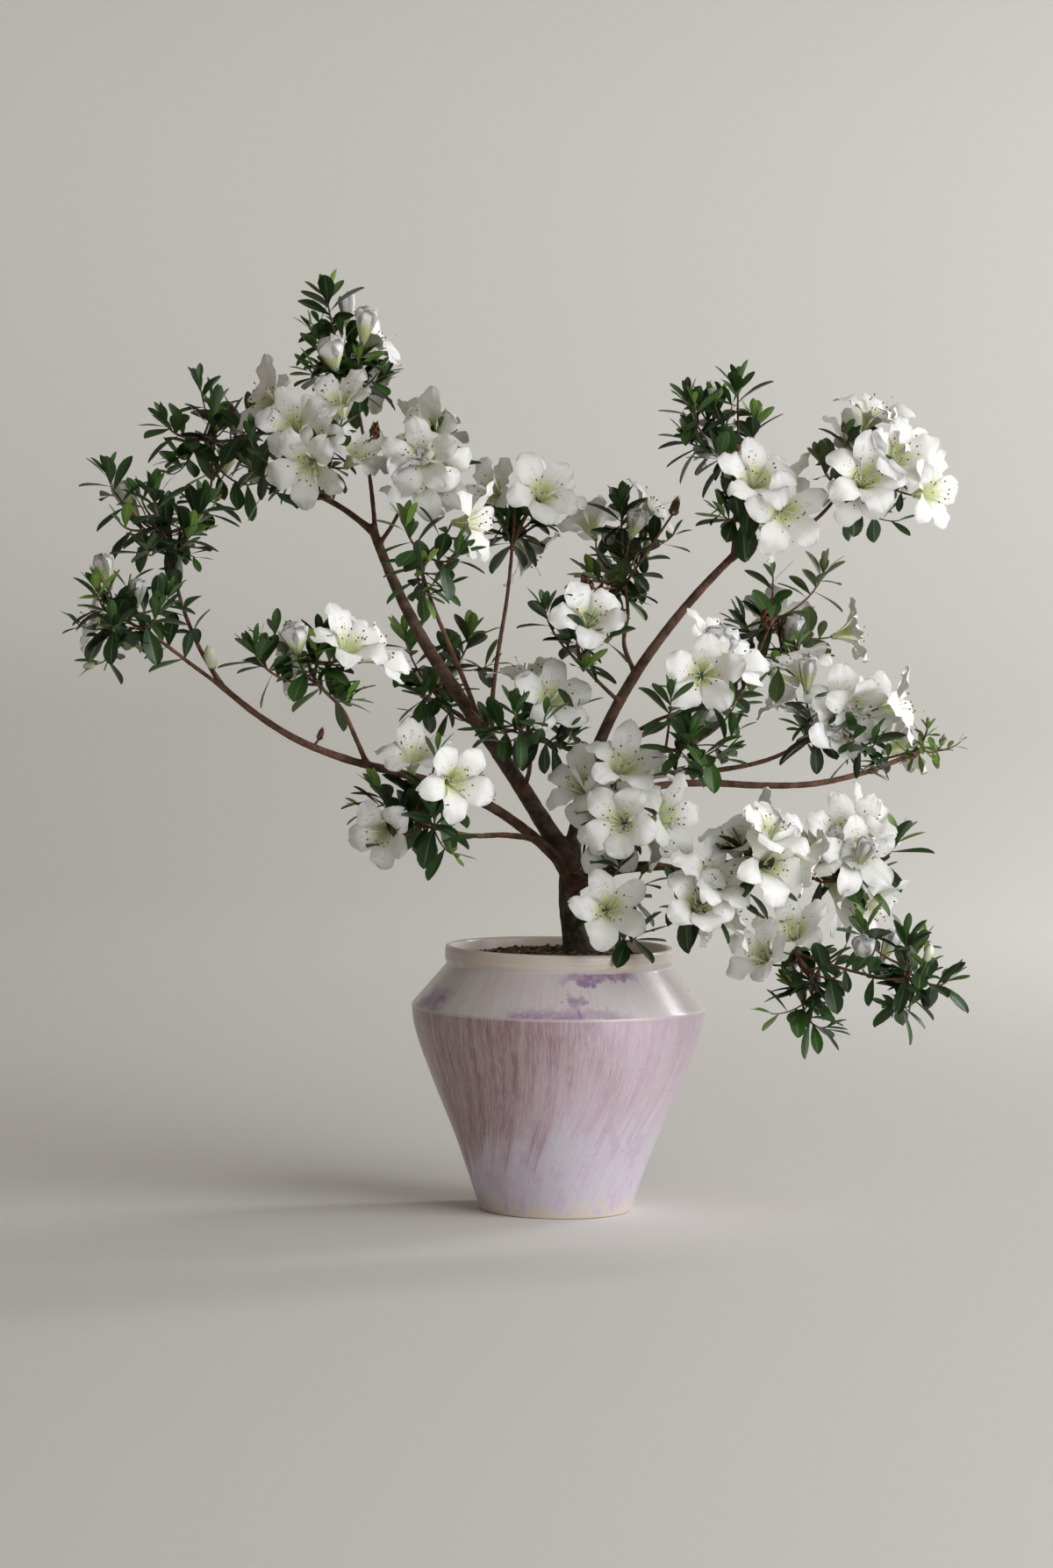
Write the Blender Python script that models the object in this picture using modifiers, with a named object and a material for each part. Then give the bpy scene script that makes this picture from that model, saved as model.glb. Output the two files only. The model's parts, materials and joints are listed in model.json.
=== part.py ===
"""Azalea shrub in a shouldered, glazed pot.

Every limb and every mass of foliage is a closed solid of its own.  Sizes are in millimetres and become
metres where a mesh is made.  The origin is the middle of the pot's flat underside, +Z is up, and the
shrub's wide, open face looks along -Y.
"""

import math
import random
from collections import namedtuple

import bmesh
import bpy
from mathutils import Matrix, Vector
from mathutils.bvhtree import BVHTree

MM = 0.001
CLEAR = 0.3                    # between solids that touch on the real shrub
UP = Vector((0.0, 0.0, 1.0))
NO_WAVE = (0.0, 0.0, 0.0)
GOLDEN_ANGLE = math.radians(137.508)

# Pot: thrown stoneware, narrow foot, sharp shoulder, upright rim band.
POT_WALL = 6.5
POT_OUTSIDE = (
    (68.0, 0.0), (70.5, 3.0), (92.0, 65.0), (107.0, 100.0), (126.5, 148.0),
    (133.5, 172.0), (135.0, 187.0), (102.0, 226.0), (104.8, 240.5), (103.0, 242.7),
)
POT_INSIDE = (
    (99.5, 242.0), (95.5, 226.5), (127.5, 186.0), (126.0, 172.0),
    (100.0, 101.0), (66.0, 11.0), (59.0, 8.0),
)
POT_FLOOR = 8.0
POT_STEPS = 32
GLAZE = (0.62, 0.50, 0.60)

# Potting mix: fills the pot, level round the trunk and lower at the wall.
GROUND = 237.0                 # level of the cut under the trunk
MIX_FLAT_RADIUS = 46.0
MIX_SLOPE = (75.0, 232.5)      # radius and level half-way down to the wall
MIX_EDGE = (95.0, 228.0)       # radius and level at the wall
MIX_BROWN = (0.085, 0.055, 0.032)

# Trunk: from its flat cut at the potting mix to the fork.
TRUNK_FOOT = (18.0, 0.0, GROUND)
TRUNK_FORK = (9.0, 0.0, 318.0)
TRUNK_BOW = (-4.0, 0.0, 0.0)
TRUNK_THICKNESS = (23.0, 19.0)
TRUNK_FLARE = 6.0              # how far the root flare stands out at the cut
TRUNK_FLARE_END = 0.22         # of the trunk's height
TRUNK_STATIONS = 9
TRUNK_SIDES = 10
CUT_AWAY = 6.0                 # length modelled below the cut, with a wider root, before it is cut off
CUT_AWAY_FLARE = 1.5

# Limbs: the parent, how far up the parent they leave it, the tip, the sideways bow half-way along, the
# S-shaped wave, and the thickness at root and tip.
Limb = namedtuple("Limb", "name parent at tip bow wave thickness")
LIMBS = (
    Limb("left_leader", "trunk", 0.97, (-180, 40, 625), (-7, -4, -5), (4, 3, 2), (17.5, 8.5)),
    Limb("right_leader", "trunk", 0.97, (159, 30, 608), (-28, 5, 14), (-1, 4, 2), (13.5, 7.0)),
    Limb("low_left_limb", "trunk", 0.93, (-310, -110, 482), (-1, -12, 6), (6, 5, 13), (10.5, 5.5)),
    Limb("left_crown", "left_leader", 0.985, (-330, 90, 701), (2, 5, 1), (2, 4, 3), (6.5, 3.6)),
    Limb("top_riser", "left_leader", 0.97, (-195, 60, 735), (2, 6, 0), (0, -3, 0), (5.0, 3.2)),
    Limb("crown_right", "left_leader", 0.95, (-146, 8, 662), (3, -4, -2), (0, 0, 0), (4.6, 3.2)),
    Limb("slender_left", "left_leader", 0.41, (-133, -52, 590), (-2, -10, 3), (1, 3, 0), (5.4, 3.6)),
    Limb("slender_centre", "left_leader", 0.37, (-50, 100, 605), (-3, 14, -1), (-2, 3, 0), (5.2, 3.6)),
    Limb("far_left_riser", "low_left_limb", 0.985, (-356, -74, 600), (-7, -4, -3), (0, 0, 0), (4.8, 3.2)),
    Limb("far_left_low", "low_left_limb", 0.97, (-392, -142, 538), (1, -4, 2), (0, 0, -1), (4.4, 3.2)),
    Limb("left_bough", "low_left_limb", 0.57, (-214, -138, 478), (4, -8, 4), (-1, 0, -1), (5.2, 3.4)),
    Limb("low_left_short", "trunk", 0.90, (-112, -112, 355), (3, -6, 15), (1, 0, 7), (7.5, 3.6)),
    Limb("leader_twig", "left_leader", 0.42, (-112, 66, 462), (-1, 4, -2), (0, 0, 0), (4.4, 3.2)),
    Limb("centre_spray", "left_leader", 0.23, (-32, -34, 432), (4, -4, 0), (0, 0, 0), (5.4, 3.4)),
    Limb("right_riser", "right_leader", 0.985, (157, 12, 664), (-2, -3, 0), (0, 0, 0), (5.0, 3.4)),
    Limb("right_crown", "right_leader", 0.97, (248, -34, 662), (5, -3, -4), (-3, 0, 4), (5.6, 3.4)),
    Limb("top_centre_stem", "right_leader", 0.56, (56, 92, 578), (-4, 8, -1), (-4, 0, 0), (5.0, 3.4)),
    Limb("centre_right_stem", "right_leader", 0.47, (18, -54, 500), (-1, -4, 0), (0, 0, 0), (4.6, 3.2)),
    Limb("right_inner", "right_leader", 0.30, (122, -64, 466), (-3, -6, 4), (1, 0, -1), (5.4, 3.4)),
    Limb("right_back", "right_leader", 0.27, (196, 150, 538), (14, 12, -13), (-6, 0, 5), (6.0, 3.4)),
    Limb("right_low_arm", "right_leader", 0.16, (222, -48, 436), (0, -6, 2), (-3, 0, 7), (7.0, 3.8)),
    Limb("right_cut_arm", "right_leader", 0.11, (330, 112, 419), (-12, 12, 4), (-5, 3, 13), (8.5, 5.0)),
    Limb("inner_right_twig", "right_leader", 0.26, (88, -112, 428), (-4, -6, 11), (0, 0, 0), (5.0, 3.2)),
    Limb("droop_main", "trunk", 0.80, (172, -88, 286), (5, -8, 27), (-2, 0, 1), (9.5, 5.0)),
    Limb("droop_upper", "trunk", 0.72, (150, -138, 332), (0, -8, 8), (0, 0, 4), (7.0, 3.6)),
    Limb("droop_outer", "droop_main", 0.66, (230, -60, 312), (-1, 4, 12), (0, 0, 0), (5.4, 3.4)),
    Limb("droop_tip", "droop_main", 0.98, (213, -106, 244), (2, 0, 2), (0, 0, 0), (4.4, 3.4)),
    Limb("droop_far", "droop_tip", 0.90, (298, -132, 228), (2, 0, -3), (0, 0, 0), (3.6, 3.0)),
)
LIMB_SIDES = 5
LIMB_STATION = 58.0            # one ring of a limb for this length
BARK = (0.105, 0.068, 0.048)
REDDISH_BARK = (0.150, 0.068, 0.042)

# Masses of foliage: the limb they grow from and how far up it, the middle and half-size of their space,
# the flowers and leafy sprays in it, and the seed that deals them out.
Clump = namedtuple("Clump", "name limb at middle half blooms sprays seed")
CLUMPS = (
    Clump("left_crown_leaves", "left_crown", 1.0, (-340, 85, 700), (95, 75, 75), 1, 7, 22115),
    Clump("left_crown_blossom", "left_crown", 0.30, (-235, -10, 695), (70, 70, 70), 5, 2, 52339),
    Clump("top_left_leaves", "top_riser", 1.0, (-210, 60, 785), (55, 60, 65), 4, 5, 14022),
    Clump("left_centre_blossom", "crown_right", 1.0, (-130, -5, 690), (45, 60, 65), 5, 2, 18202),
    Clump("slender_left_blossom", "slender_left", 1.0, (-125, -70, 605), (60, 55, 55), 1, 3, 922),
    Clump("slender_centre_blossom", "slender_centre", 1.0, (-50, 110, 650), (70, 65, 65), 4, 2, 14738),
    Clump("far_left_leaves", "far_left_riser", 1.0, (-370, -70, 630), (65, 60, 55), 1, 6, 15457),
    Clump("far_left_blossom", "far_left_low", 1.0, (-390, -150, 545), (55, 60, 50), 2, 5, 45395),
    Clump("left_blossom", "left_bough", 1.0, (-225, -150, 510), (70, 60, 50), 3, 3, 5371),
    Clump("low_left_leaves", "low_left_short", 1.0, (-130, -130, 380), (65, 55, 65), 3, 4, 12425),
    Clump("left_inner_leaves", "leader_twig", 1.0, (-115, 80, 490), (50, 60, 55), 1, 4, 22809),
    Clump("centre_blossom", "centre_spray", 1.0, (-20, -55, 460), (55, 50, 55), 2, 3, 17622),
    Clump("right_top_leaves", "right_riser", 1.0, (140, 25, 725), (50, 60, 65), 1, 7, 40693),
    Clump("right_shoulder_blossom", "right_riser", 0.55, (175, -35, 665), (55, 50, 50), 4, 1, 48425),
    Clump("right_crown_blossom", "right_crown", 1.0, (280, -60, 690), (70, 70, 65), 4, 3, 11855),
    Clump("top_centre_leaves", "top_centre_stem", 1.0, (55, 110, 610), (60, 60, 70), 3, 5, 18471),
    Clump("centre_right_leaves", "centre_right_stem", 1.0, (15, -75, 530), (45, 50, 40), 1, 3, 799),
    Clump("right_inner_blossom", "right_inner", 1.0, (135, -85, 500), (55, 60, 55), 2, 2, 21182),
    Clump("right_back_leaves", "right_back", 1.0, (220, 170, 530), (85, 75, 80), 4, 5, 22631),
    Clump("right_blossom", "right_low_arm", 1.0, (265, -60, 465), (70, 70, 65), 5, 3, 13928),
    Clump("right_cut_leaves", "right_cut_arm", 1.0, (335, 125, 435), (45, 50, 35), 1, 3, 13095),
    Clump("inner_right_leaves", "inner_right_twig", 1.0, (120, -145, 445), (55, 50, 45), 0, 4, 13184),
    Clump("droop_blossom", "droop_main", 0.62, (125, -150, 295), (55, 45, 50), 3, 1, 42874),
    Clump("droop_upper_blossom", "droop_upper", 1.0, (175, -165, 335), (45, 50, 45), 3, 1, 23700),
    Clump("droop_outer_blossom", "droop_outer", 1.0, (265, -60, 335), (50, 60, 55), 5, 2, 1217),
    Clump("droop_tip_leaves", "droop_tip", 1.0, (225, -110, 220), (50, 55, 70), 2, 4, 15790),
    Clump("droop_far_leaves", "droop_far", 1.0, (305, -135, 245), (60, 55, 55), 1, 5, 6073),
    Clump("front_blossom", "trunk", 0.93, (60, -110, 380), (60, 55, 55), 6, 1, 40296),
    Clump("hanging_bloom", "trunk", 0.55, (60, -105, 280), (45, 45, 45), 1, 2, 21804),
)
SPOT_TRIES = 4                 # spots drawn for each shoot: the one farthest from the rest is kept
SHOOT_REACH = (0.30, 0.95)     # of the space, from its middle
SPACE_MARGIN = 34.0            # a leaf may stand this far out of the reach of its shoots
LIGHT = (0.30, -0.85, 0.43)    # where the light comes from
FACING = (0.75, 0.35, 0.75)    # a flower's turn out of its clump, out of the shrub and to the light

# Stems and twigs inside a clump.
STEM_RADII = (2.4, 2.2)
STEM_FOOT = 4.0                # straight out of the limb before it bends
STEM_LEAST = 18.0
STEM_REACH = 0.85              # of the way to the middle of the space
SHOOTS_FROM = (0.25, 0.95)     # where on the stem the shoots leave it
TWIG_RADII = (1.0, 1.3)
TWIG_SIDES = 3
TWIG_STATIONS = 3
TWIG_BEND = 0.45               # how much of a twig already lies in its last heading
RISE = 0.45                    # how far a leafy shoot turns up

# Leaves: low wedges up the last stretch of a leafy shoot.
LEAF_LENGTH = 40.0
LEAF_WIDTH = 15.0
LEAF_THICKNESS = 1.2           # at its root
LEAF_WIDEST = 0.56             # of its length
LEAVES_IN_SPRAY = 4
LEAF_SPACING = 5.0             # from one leaf to the next along a shoot
LEAF_SUNK = 1.2                # of the last leaf, below the shoot's end
LEAF_TILTS = (78.0, 22.0)      # degrees from the shoot, of the first leaf and of the last
LEAF_TILT_PLAY = 8.0
LEAF_ROLL_PLAY = 0.4
LEAF_SIZES = (0.85, 1.1)
LEAF_GREEN = (0.045, 0.110, 0.028)

# Flowers: solid trumpets with five petals.
BLOOM_RADIUS = 33.0
BLOOM_DEPTH = 30.0
BLOOM_NECK = 2.6
BLOOM_HEART = 0.42             # height of the throat's bottom, as a part of the depth
PETALS = 5
PETAL_RIM = ((0.62, 0.82), (1.0, 0.96), (1.0, 0.96))   # reach and height at the notch and two corners
PETAL_CORNER = 0.22            # from a notch to the next corner, as a part of a petal's turn
BLOOM_SIZES = (0.92, 1.06)
BLOOM_SET_BACK = 0.8           # from the end of the shoot to the neck, as a part of the depth
TWIG_IN_NECK = 4.0
BLOOM_WHITE = (0.86, 0.88, 0.80)


def start_scene():
    """Empties the file and makes collections for the shrub and for what is only used to shape it."""
    for thing in list(bpy.data.objects):
        bpy.data.objects.remove(thing, do_unlink=True)
    shrub = bpy.data.collections.new("azalea_shrub")
    bench = bpy.data.collections.new("bench")
    bpy.context.scene.collection.children.link(shrub)
    bpy.context.scene.collection.children.link(bench)
    return shrub, bench


SHRUB, BENCH = start_scene()


def material(name, colour, roughness):
    """A plain surface with one colour."""
    surface = bpy.data.materials.new(name)
    surface.use_nodes = True
    shader = surface.node_tree.nodes["Principled BSDF"]
    shader.inputs["Base Color"].default_value = (*colour, 1.0)
    shader.inputs["Roughness"].default_value = roughness
    return surface


def add_object(name, data, collection):
    """An object for the mesh or curve, in the collection."""
    thing = bpy.data.objects.new(name, data)
    collection.objects.link(thing)
    return thing


def evaluated_mesh(thing):
    """The object's mesh with its modifiers applied."""
    bpy.context.view_layer.update()
    depsgraph = bpy.context.evaluated_depsgraph_get()
    return bpy.data.meshes.new_from_object(thing.evaluated_get(depsgraph))


def islands_of(bm):
    """The separate bodies of a mesh, each as a list of its faces."""
    left = set(bm.faces)
    found = []
    while left:
        body = [left.pop()]
        for face in body:
            for edge in face.edges:
                for other in edge.link_faces:
                    if other in left:
                        left.discard(other)
                        body.append(other)
        found.append(body)
    return found


def keep_main_body(mesh):
    """Drops loose scraps and fills sealed hollows: only the largest outer skin stays."""
    bm = bmesh.new()
    bm.from_mesh(mesh)
    bodies = sorted(islands_of(bm), key=lambda body: sum(face.calc_area() for face in body))
    spare = [face for body in bodies[:-1] for face in body]
    bmesh.ops.delete(bm, geom=spare, context="FACES")
    bmesh.ops.recalc_face_normals(bm, faces=bm.faces)
    if bm.calc_volume(signed=True) < 0.0:
        bmesh.ops.reverse_faces(bm, faces=bm.faces)
    bm.to_mesh(mesh)
    bm.free()


def turned(name, outline, surface):
    """A solid turned from an outline of (radius, height) points that begins and ends on the axis."""
    mesh = bpy.data.meshes.new(name)
    corners = [(radius * MM, 0.0, height * MM) for radius, height in outline]
    mesh.from_pydata(corners, [(i, i + 1) for i in range(len(corners) - 1)], [])
    thing = add_object(name, mesh, SHRUB)
    screw = thing.modifiers.new("turn", "SCREW")
    screw.steps = POT_STEPS
    screw.render_steps = POT_STEPS
    screw.use_merge_vertices = True
    screw.merge_threshold = 1e-5
    screw.use_normal_calculate = True
    thing.data.materials.append(surface)
    return thing


def build_pot():
    """The empty pot."""
    outline = [(0.0, 0.0), *POT_OUTSIDE, *POT_INSIDE, (0.0, POT_FLOOR)]
    return turned("pot", outline, material("lilac glaze", GLAZE, 0.15))


def build_potting_mix():
    """The bark mix that fills the pot, level round the trunk and lower at the wall."""
    filled = [(radius - CLEAR, height) for radius, height in POT_INSIDE if height < MIX_EDGE[1]]
    bottom = POT_FLOOR + CLEAR
    top = [(0.0, GROUND - CLEAR), (MIX_FLAT_RADIUS, GROUND - CLEAR), MIX_SLOPE, MIX_EDGE]
    outline = [*top, *filled[:-1], (filled[-1][0], bottom), (0.0, bottom)]
    return turned("potting_mix", outline, material("bark mix", MIX_BROWN, 0.95))


def ring_outline(sides):
    """The section of a limb with that many sides and a radius of 1, as a curve to sweep."""
    curve = bpy.data.curves.new("section", "CURVE")
    curve.dimensions = "2D"
    spline = curve.splines.new("POLY")
    spline.points.add(sides - 1)
    for number, point in enumerate(spline.points):
        turn = 2.0 * math.pi * number / sides
        point.co = (math.cos(turn), math.sin(turn), 0.0, 1.0)
    spline.use_cyclic_u = True
    return add_object("section", curve, BENCH)


SECTIONS = {sides: ring_outline(sides) for sides in (TWIG_SIDES, LIMB_SIDES, TRUNK_SIDES)}


def swept(line, radii, sides):
    """The mesh of a tapering limb along the points of the line."""
    curve = bpy.data.curves.new("swept", "CURVE")
    curve.dimensions = "3D"
    curve.bevel_mode = "OBJECT"
    curve.bevel_object = SECTIONS[sides]
    curve.use_fill_caps = True
    spline = curve.splines.new("POLY")
    spline.points.add(len(line) - 1)
    for point, place, radius in zip(spline.points, line, radii):
        point.co = (*(place * MM), 1.0)
        point.radius = radius * MM
    thing = add_object("swept", curve, BENCH)
    mesh = evaluated_mesh(thing)
    bpy.data.objects.remove(thing, do_unlink=True)
    bm = bmesh.new()
    bm.from_mesh(mesh)
    bmesh.ops.remove_doubles(bm, verts=bm.verts, dist=1e-6)
    bm.to_mesh(mesh)
    bm.free()
    keep_main_body(mesh)
    return mesh


def bent_line(start, tip, bow, wave, stations):
    """Points from start to tip, bowed to one side and waved like an S."""
    line = []
    for number in range(stations):
        along = number / (stations - 1)
        lean = Vector(bow) * (4.0 * along * (1.0 - along))
        sway = Vector(wave) * math.sin(2.0 * math.pi * along)
        line.append(start.lerp(tip, along) + lean + sway)
    return line


def curved_line(start, control, end, stations):
    """Points on the curve that leaves the start towards the control and reaches the end from it."""
    line = []
    for number in range(stations):
        along = number / (stations - 1)
        line.append(start.lerp(control, along).lerp(control.lerp(end, along), along))
    return line


def point_on(line, along):
    """The point that far along the line, and the heading there."""
    place = along * (len(line) - 1)
    number = min(int(place), len(line) - 2)
    heading = (line[number + 1] - line[number]).normalized()
    return line[number].lerp(line[number + 1], place - number), heading


def blend(pair, along):
    """The value that far from the first to the second."""
    return pair[0] + (pair[1] - pair[0]) * along


def tapered(radii, stations):
    """Radii that run evenly from the first to the last."""
    return [blend(radii, number / (stations - 1)) for number in range(stations)]


def value_on(values, along):
    """The value that far along a list of values."""
    place = along * (len(values) - 1)
    number = min(int(place), len(values) - 2)
    return blend(values[number:number + 2], place - number)


def trunk_shape():
    """The trunk's line, which starts below its cut, and its radii with the root flare."""
    line = bent_line(Vector(TRUNK_FOOT), Vector(TRUNK_FORK), TRUNK_BOW, NO_WAVE, TRUNK_STATIONS)
    radii = []
    for number, thickness in enumerate(tapered(TRUNK_THICKNESS, len(line))):
        along = number / (len(line) - 1)
        flare = TRUNK_FLARE * max(0.0, 1.0 - along / TRUNK_FLARE_END) ** 2
        radii.append(thickness / 2.0 + flare)
    below = line[0] - UP * CUT_AWAY
    return [below, *line], [radii[0] + CUT_AWAY_FLARE, *radii]


def limb_shape(limb, shapes):
    """A limb's line from the middle of its parent to its tip, and its radii."""
    start = point_on(shapes[limb.parent][0], limb.at)[0]
    tip = Vector(limb.tip)
    stations = max(4, round((tip - start).length / LIMB_STATION) + 2)
    line = bent_line(start, tip, limb.bow, limb.wave, stations)
    return line, [thickness / 2.0 for thickness in tapered(limb.thickness, stations)]


def swollen_limb(shape, sides):
    """The limb's mesh made larger all round by the clearance."""
    line, radii = shape
    line = [*line]
    line[-1] = line[-1] + (line[-1] - line[-2]).normalized() * CLEAR
    return swept(line, [radius + CLEAR for radius in radii], sides)


def tree_of(mesh):
    """A search tree of the mesh's faces."""
    corners = [vertex.co for vertex in mesh.vertices]
    return BVHTree.FromPolygons(corners, [face.vertices for face in mesh.polygons])


def boolean(mesh, operation, others):
    """The mesh joined with, or cut by, the meshes of the collection."""
    thing = add_object("shaped", mesh, BENCH)
    modifier = thing.modifiers.new("shape", "BOOLEAN")
    modifier.operation = operation
    modifier.operand_type = "COLLECTION"
    modifier.collection = others
    modifier.solver = "EXACT"
    modifier.material_mode = "TRANSFER"
    result = evaluated_mesh(thing)
    bpy.data.objects.remove(thing, do_unlink=True)
    for other in list(others.objects):
        bpy.data.objects.remove(other, do_unlink=True)
    bpy.data.collections.remove(others)
    keep_main_body(result)
    return result


def new_operands(name):
    """A collection on the bench for what a Boolean uses up."""
    operands = bpy.data.collections.new(name)
    BENCH.children.link(operands)
    return operands


def cut_flat(mesh, height):
    """Cuts the mesh level at the height and closes the cut."""
    bm = bmesh.new()
    bm.from_mesh(mesh)
    everything = [*bm.verts, *bm.edges, *bm.faces]
    level = Vector((0.0, 0.0, height * MM))
    bmesh.ops.bisect_plane(bm, geom=everything, plane_co=level, plane_no=UP, clear_inner=True)
    bmesh.ops.holes_fill(bm, edges=bm.edges)
    bm.to_mesh(mesh)
    bm.free()
    keep_main_body(mesh)


def build_limbs(bark, reddish):
    """The trunk and the boughs, each cut clear of the ones that it grows from or leans on."""
    shapes = {"trunk": trunk_shape()}
    trunk = swept(*shapes["trunk"], TRUNK_SIDES)
    cut_flat(trunk, GROUND)
    trunk.materials.append(bark)
    add_object("trunk", trunk, SHRUB)
    swollen = {"trunk": swollen_limb(shapes["trunk"], TRUNK_SIDES)}
    trees = {"trunk": tree_of(swollen["trunk"])}
    for limb in LIMBS:
        shapes[limb.name] = limb_shape(limb, shapes)
        mesh = swept(*shapes[limb.name], LIMB_SIDES)
        reached = tree_of(mesh)
        cutters = new_operands("cutters")
        for name, tree in trees.items():
            if tree.overlap(reached):
                add_object("cutter", swollen[name], cutters)
        mesh = boolean(mesh, "DIFFERENCE", cutters)
        mesh.materials.clear()
        mesh.materials.append(reddish if limb.parent != "trunk" else bark)
        add_object(limb.name, mesh, SHRUB)
        swollen[limb.name] = swollen_limb(shapes[limb.name], LIMB_SIDES)
        trees[limb.name] = tree_of(swollen[limb.name])
    return shapes, trees


def random_spot(rng):
    """A random spot in the outer part of a ball of radius 1."""
    turn = rng.uniform(0.0, 2.0 * math.pi)
    height = rng.uniform(-1.0, 1.0)
    reach = rng.uniform(*SHOOT_REACH)
    flat = math.sqrt(1.0 - height * height)
    return (reach * flat * math.cos(turn), reach * flat * math.sin(turn), reach * height)


def shoot_spots(count, seed):
    """Where the shoots of a space end: each is the loneliest of a few random spots."""
    rng = random.Random(seed)
    spots = []
    for _ in range(count):
        tries = [random_spot(rng) for _ in range(SPOT_TRIES)]
        room = [min((math.dist(spot, other) for other in spots), default=0.0) for spot in tries]
        spots.append(tries[room.index(max(room))])
    return spots


def in_space(clump, place):
    """True where the place belongs to the clump: in its reach and nearer to it than to any other."""
    def distance(other):
        steps = [(place[i] - other.middle[i]) / (other.half[i] + SPACE_MARGIN) for i in range(3)]
        return math.hypot(*steps)
    own = distance(clump)
    return own <= 1.0 and all(own <= distance(other) for other in CLUMPS if other is not clump)


def facing_of(clump, spot):
    """The way a flower looks: out of its clump, out of the shrub and to the light."""
    out_of_clump = Vector(spot).normalized()
    out_of_shrub = Vector((clump.middle[0], clump.middle[1], 0.0)).normalized()
    return (out_of_clump * FACING[0] + out_of_shrub * FACING[1] + Vector(LIGHT) * FACING[2]).normalized()


def frame_at(place, heading, turn, size=1.0):
    """A placing matrix: its Y along the heading, its Z as near upright as the turn lets it."""
    side = heading.cross(UP)
    if side.length < 0.1:
        side = Vector((1.0, 0.0, 0.0))
    side.normalize()
    side.rotate(Matrix.Rotation(turn, 3, heading))
    normal = side.cross(heading)
    turned_axes = Matrix((side, heading, normal)).transposed()
    return Matrix.Translation(place * MM) @ (turned_axes * size).to_4x4()


def leaf_mesh():
    """A leaf as a low wedge of six faces: a thick root at the origin, a sharp tip along +Y."""
    bm = bmesh.new()
    bmesh.ops.create_cone(bm, cap_ends=True, segments=4, radius1=0.5, radius2=0.0, depth=1.0)
    root = []
    for vertex in bm.verts:
        x, y, z = vertex.co
        if z > 0.0:
            place = (0.0, LEAF_LENGTH, 0.0)
        elif abs(x) > 0.25:
            place = (x * LEAF_WIDTH, LEAF_WIDEST * LEAF_LENGTH, 0.0)
        else:
            place = (0.0, 0.0, y * LEAF_THICKNESS)
            root.append(vertex)
        vertex.co = Vector(place) * MM
    bmesh.ops.connect_verts(bm, verts=root)
    bmesh.ops.recalc_face_normals(bm, faces=bm.faces)
    mesh = bpy.data.meshes.new("leaf")
    bm.to_mesh(mesh)
    bm.free()
    return mesh


def bloom_mesh():
    """A five-petalled flower as a solid trumpet: its neck at the origin, its mouth along +Y."""
    bm = bmesh.new()
    corners = len(PETAL_RIM)

    def on_ring(turn, radius, height):
        return bm.verts.new(Vector((radius * math.cos(turn), height, radius * math.sin(turn))) * MM)

    petal_turn = 2.0 * math.pi / PETALS
    neck = [on_ring(petal_turn * number, BLOOM_NECK, 0.0) for number in range(PETALS)]
    heart = on_ring(0.0, 0.0, BLOOM_HEART * BLOOM_DEPTH)
    rim = []
    for number in range(PETALS):
        for corner, (reach, height) in enumerate(PETAL_RIM):
            part_turn = (0.0, PETAL_CORNER, 1.0 - PETAL_CORNER)[corner]
            turn = petal_turn * (number + part_turn)
            rim.append(on_ring(turn, reach * BLOOM_RADIUS, height * BLOOM_DEPTH))
    bm.faces.new(neck)
    for number in range(PETALS):
        after = (number + 1) % PETALS
        edge = [rim[(number * corners + step) % len(rim)] for step in range(corners + 1)]
        bm.faces.new((neck[number], edge[0], edge[1]))
        bm.faces.new((neck[number], edge[1], edge[2], neck[after]))
        bm.faces.new((neck[after], edge[2], edge[3]))
        for step in range(corners):
            bm.faces.new((heart, edge[step], edge[step + 1]))
    bmesh.ops.recalc_face_normals(bm, faces=bm.faces)
    mesh = bpy.data.meshes.new("bloom")
    bm.to_mesh(mesh)
    bm.free()
    return mesh


def swollen_tree(mesh, matrix):
    """A search tree of the placed mesh, made larger all round by the clearance."""
    corners = [matrix @ (vertex.co + vertex.normal * CLEAR * MM) for vertex in mesh.vertices]
    return BVHTree.FromPolygons(corners, [face.vertices for face in mesh.polygons])


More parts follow.
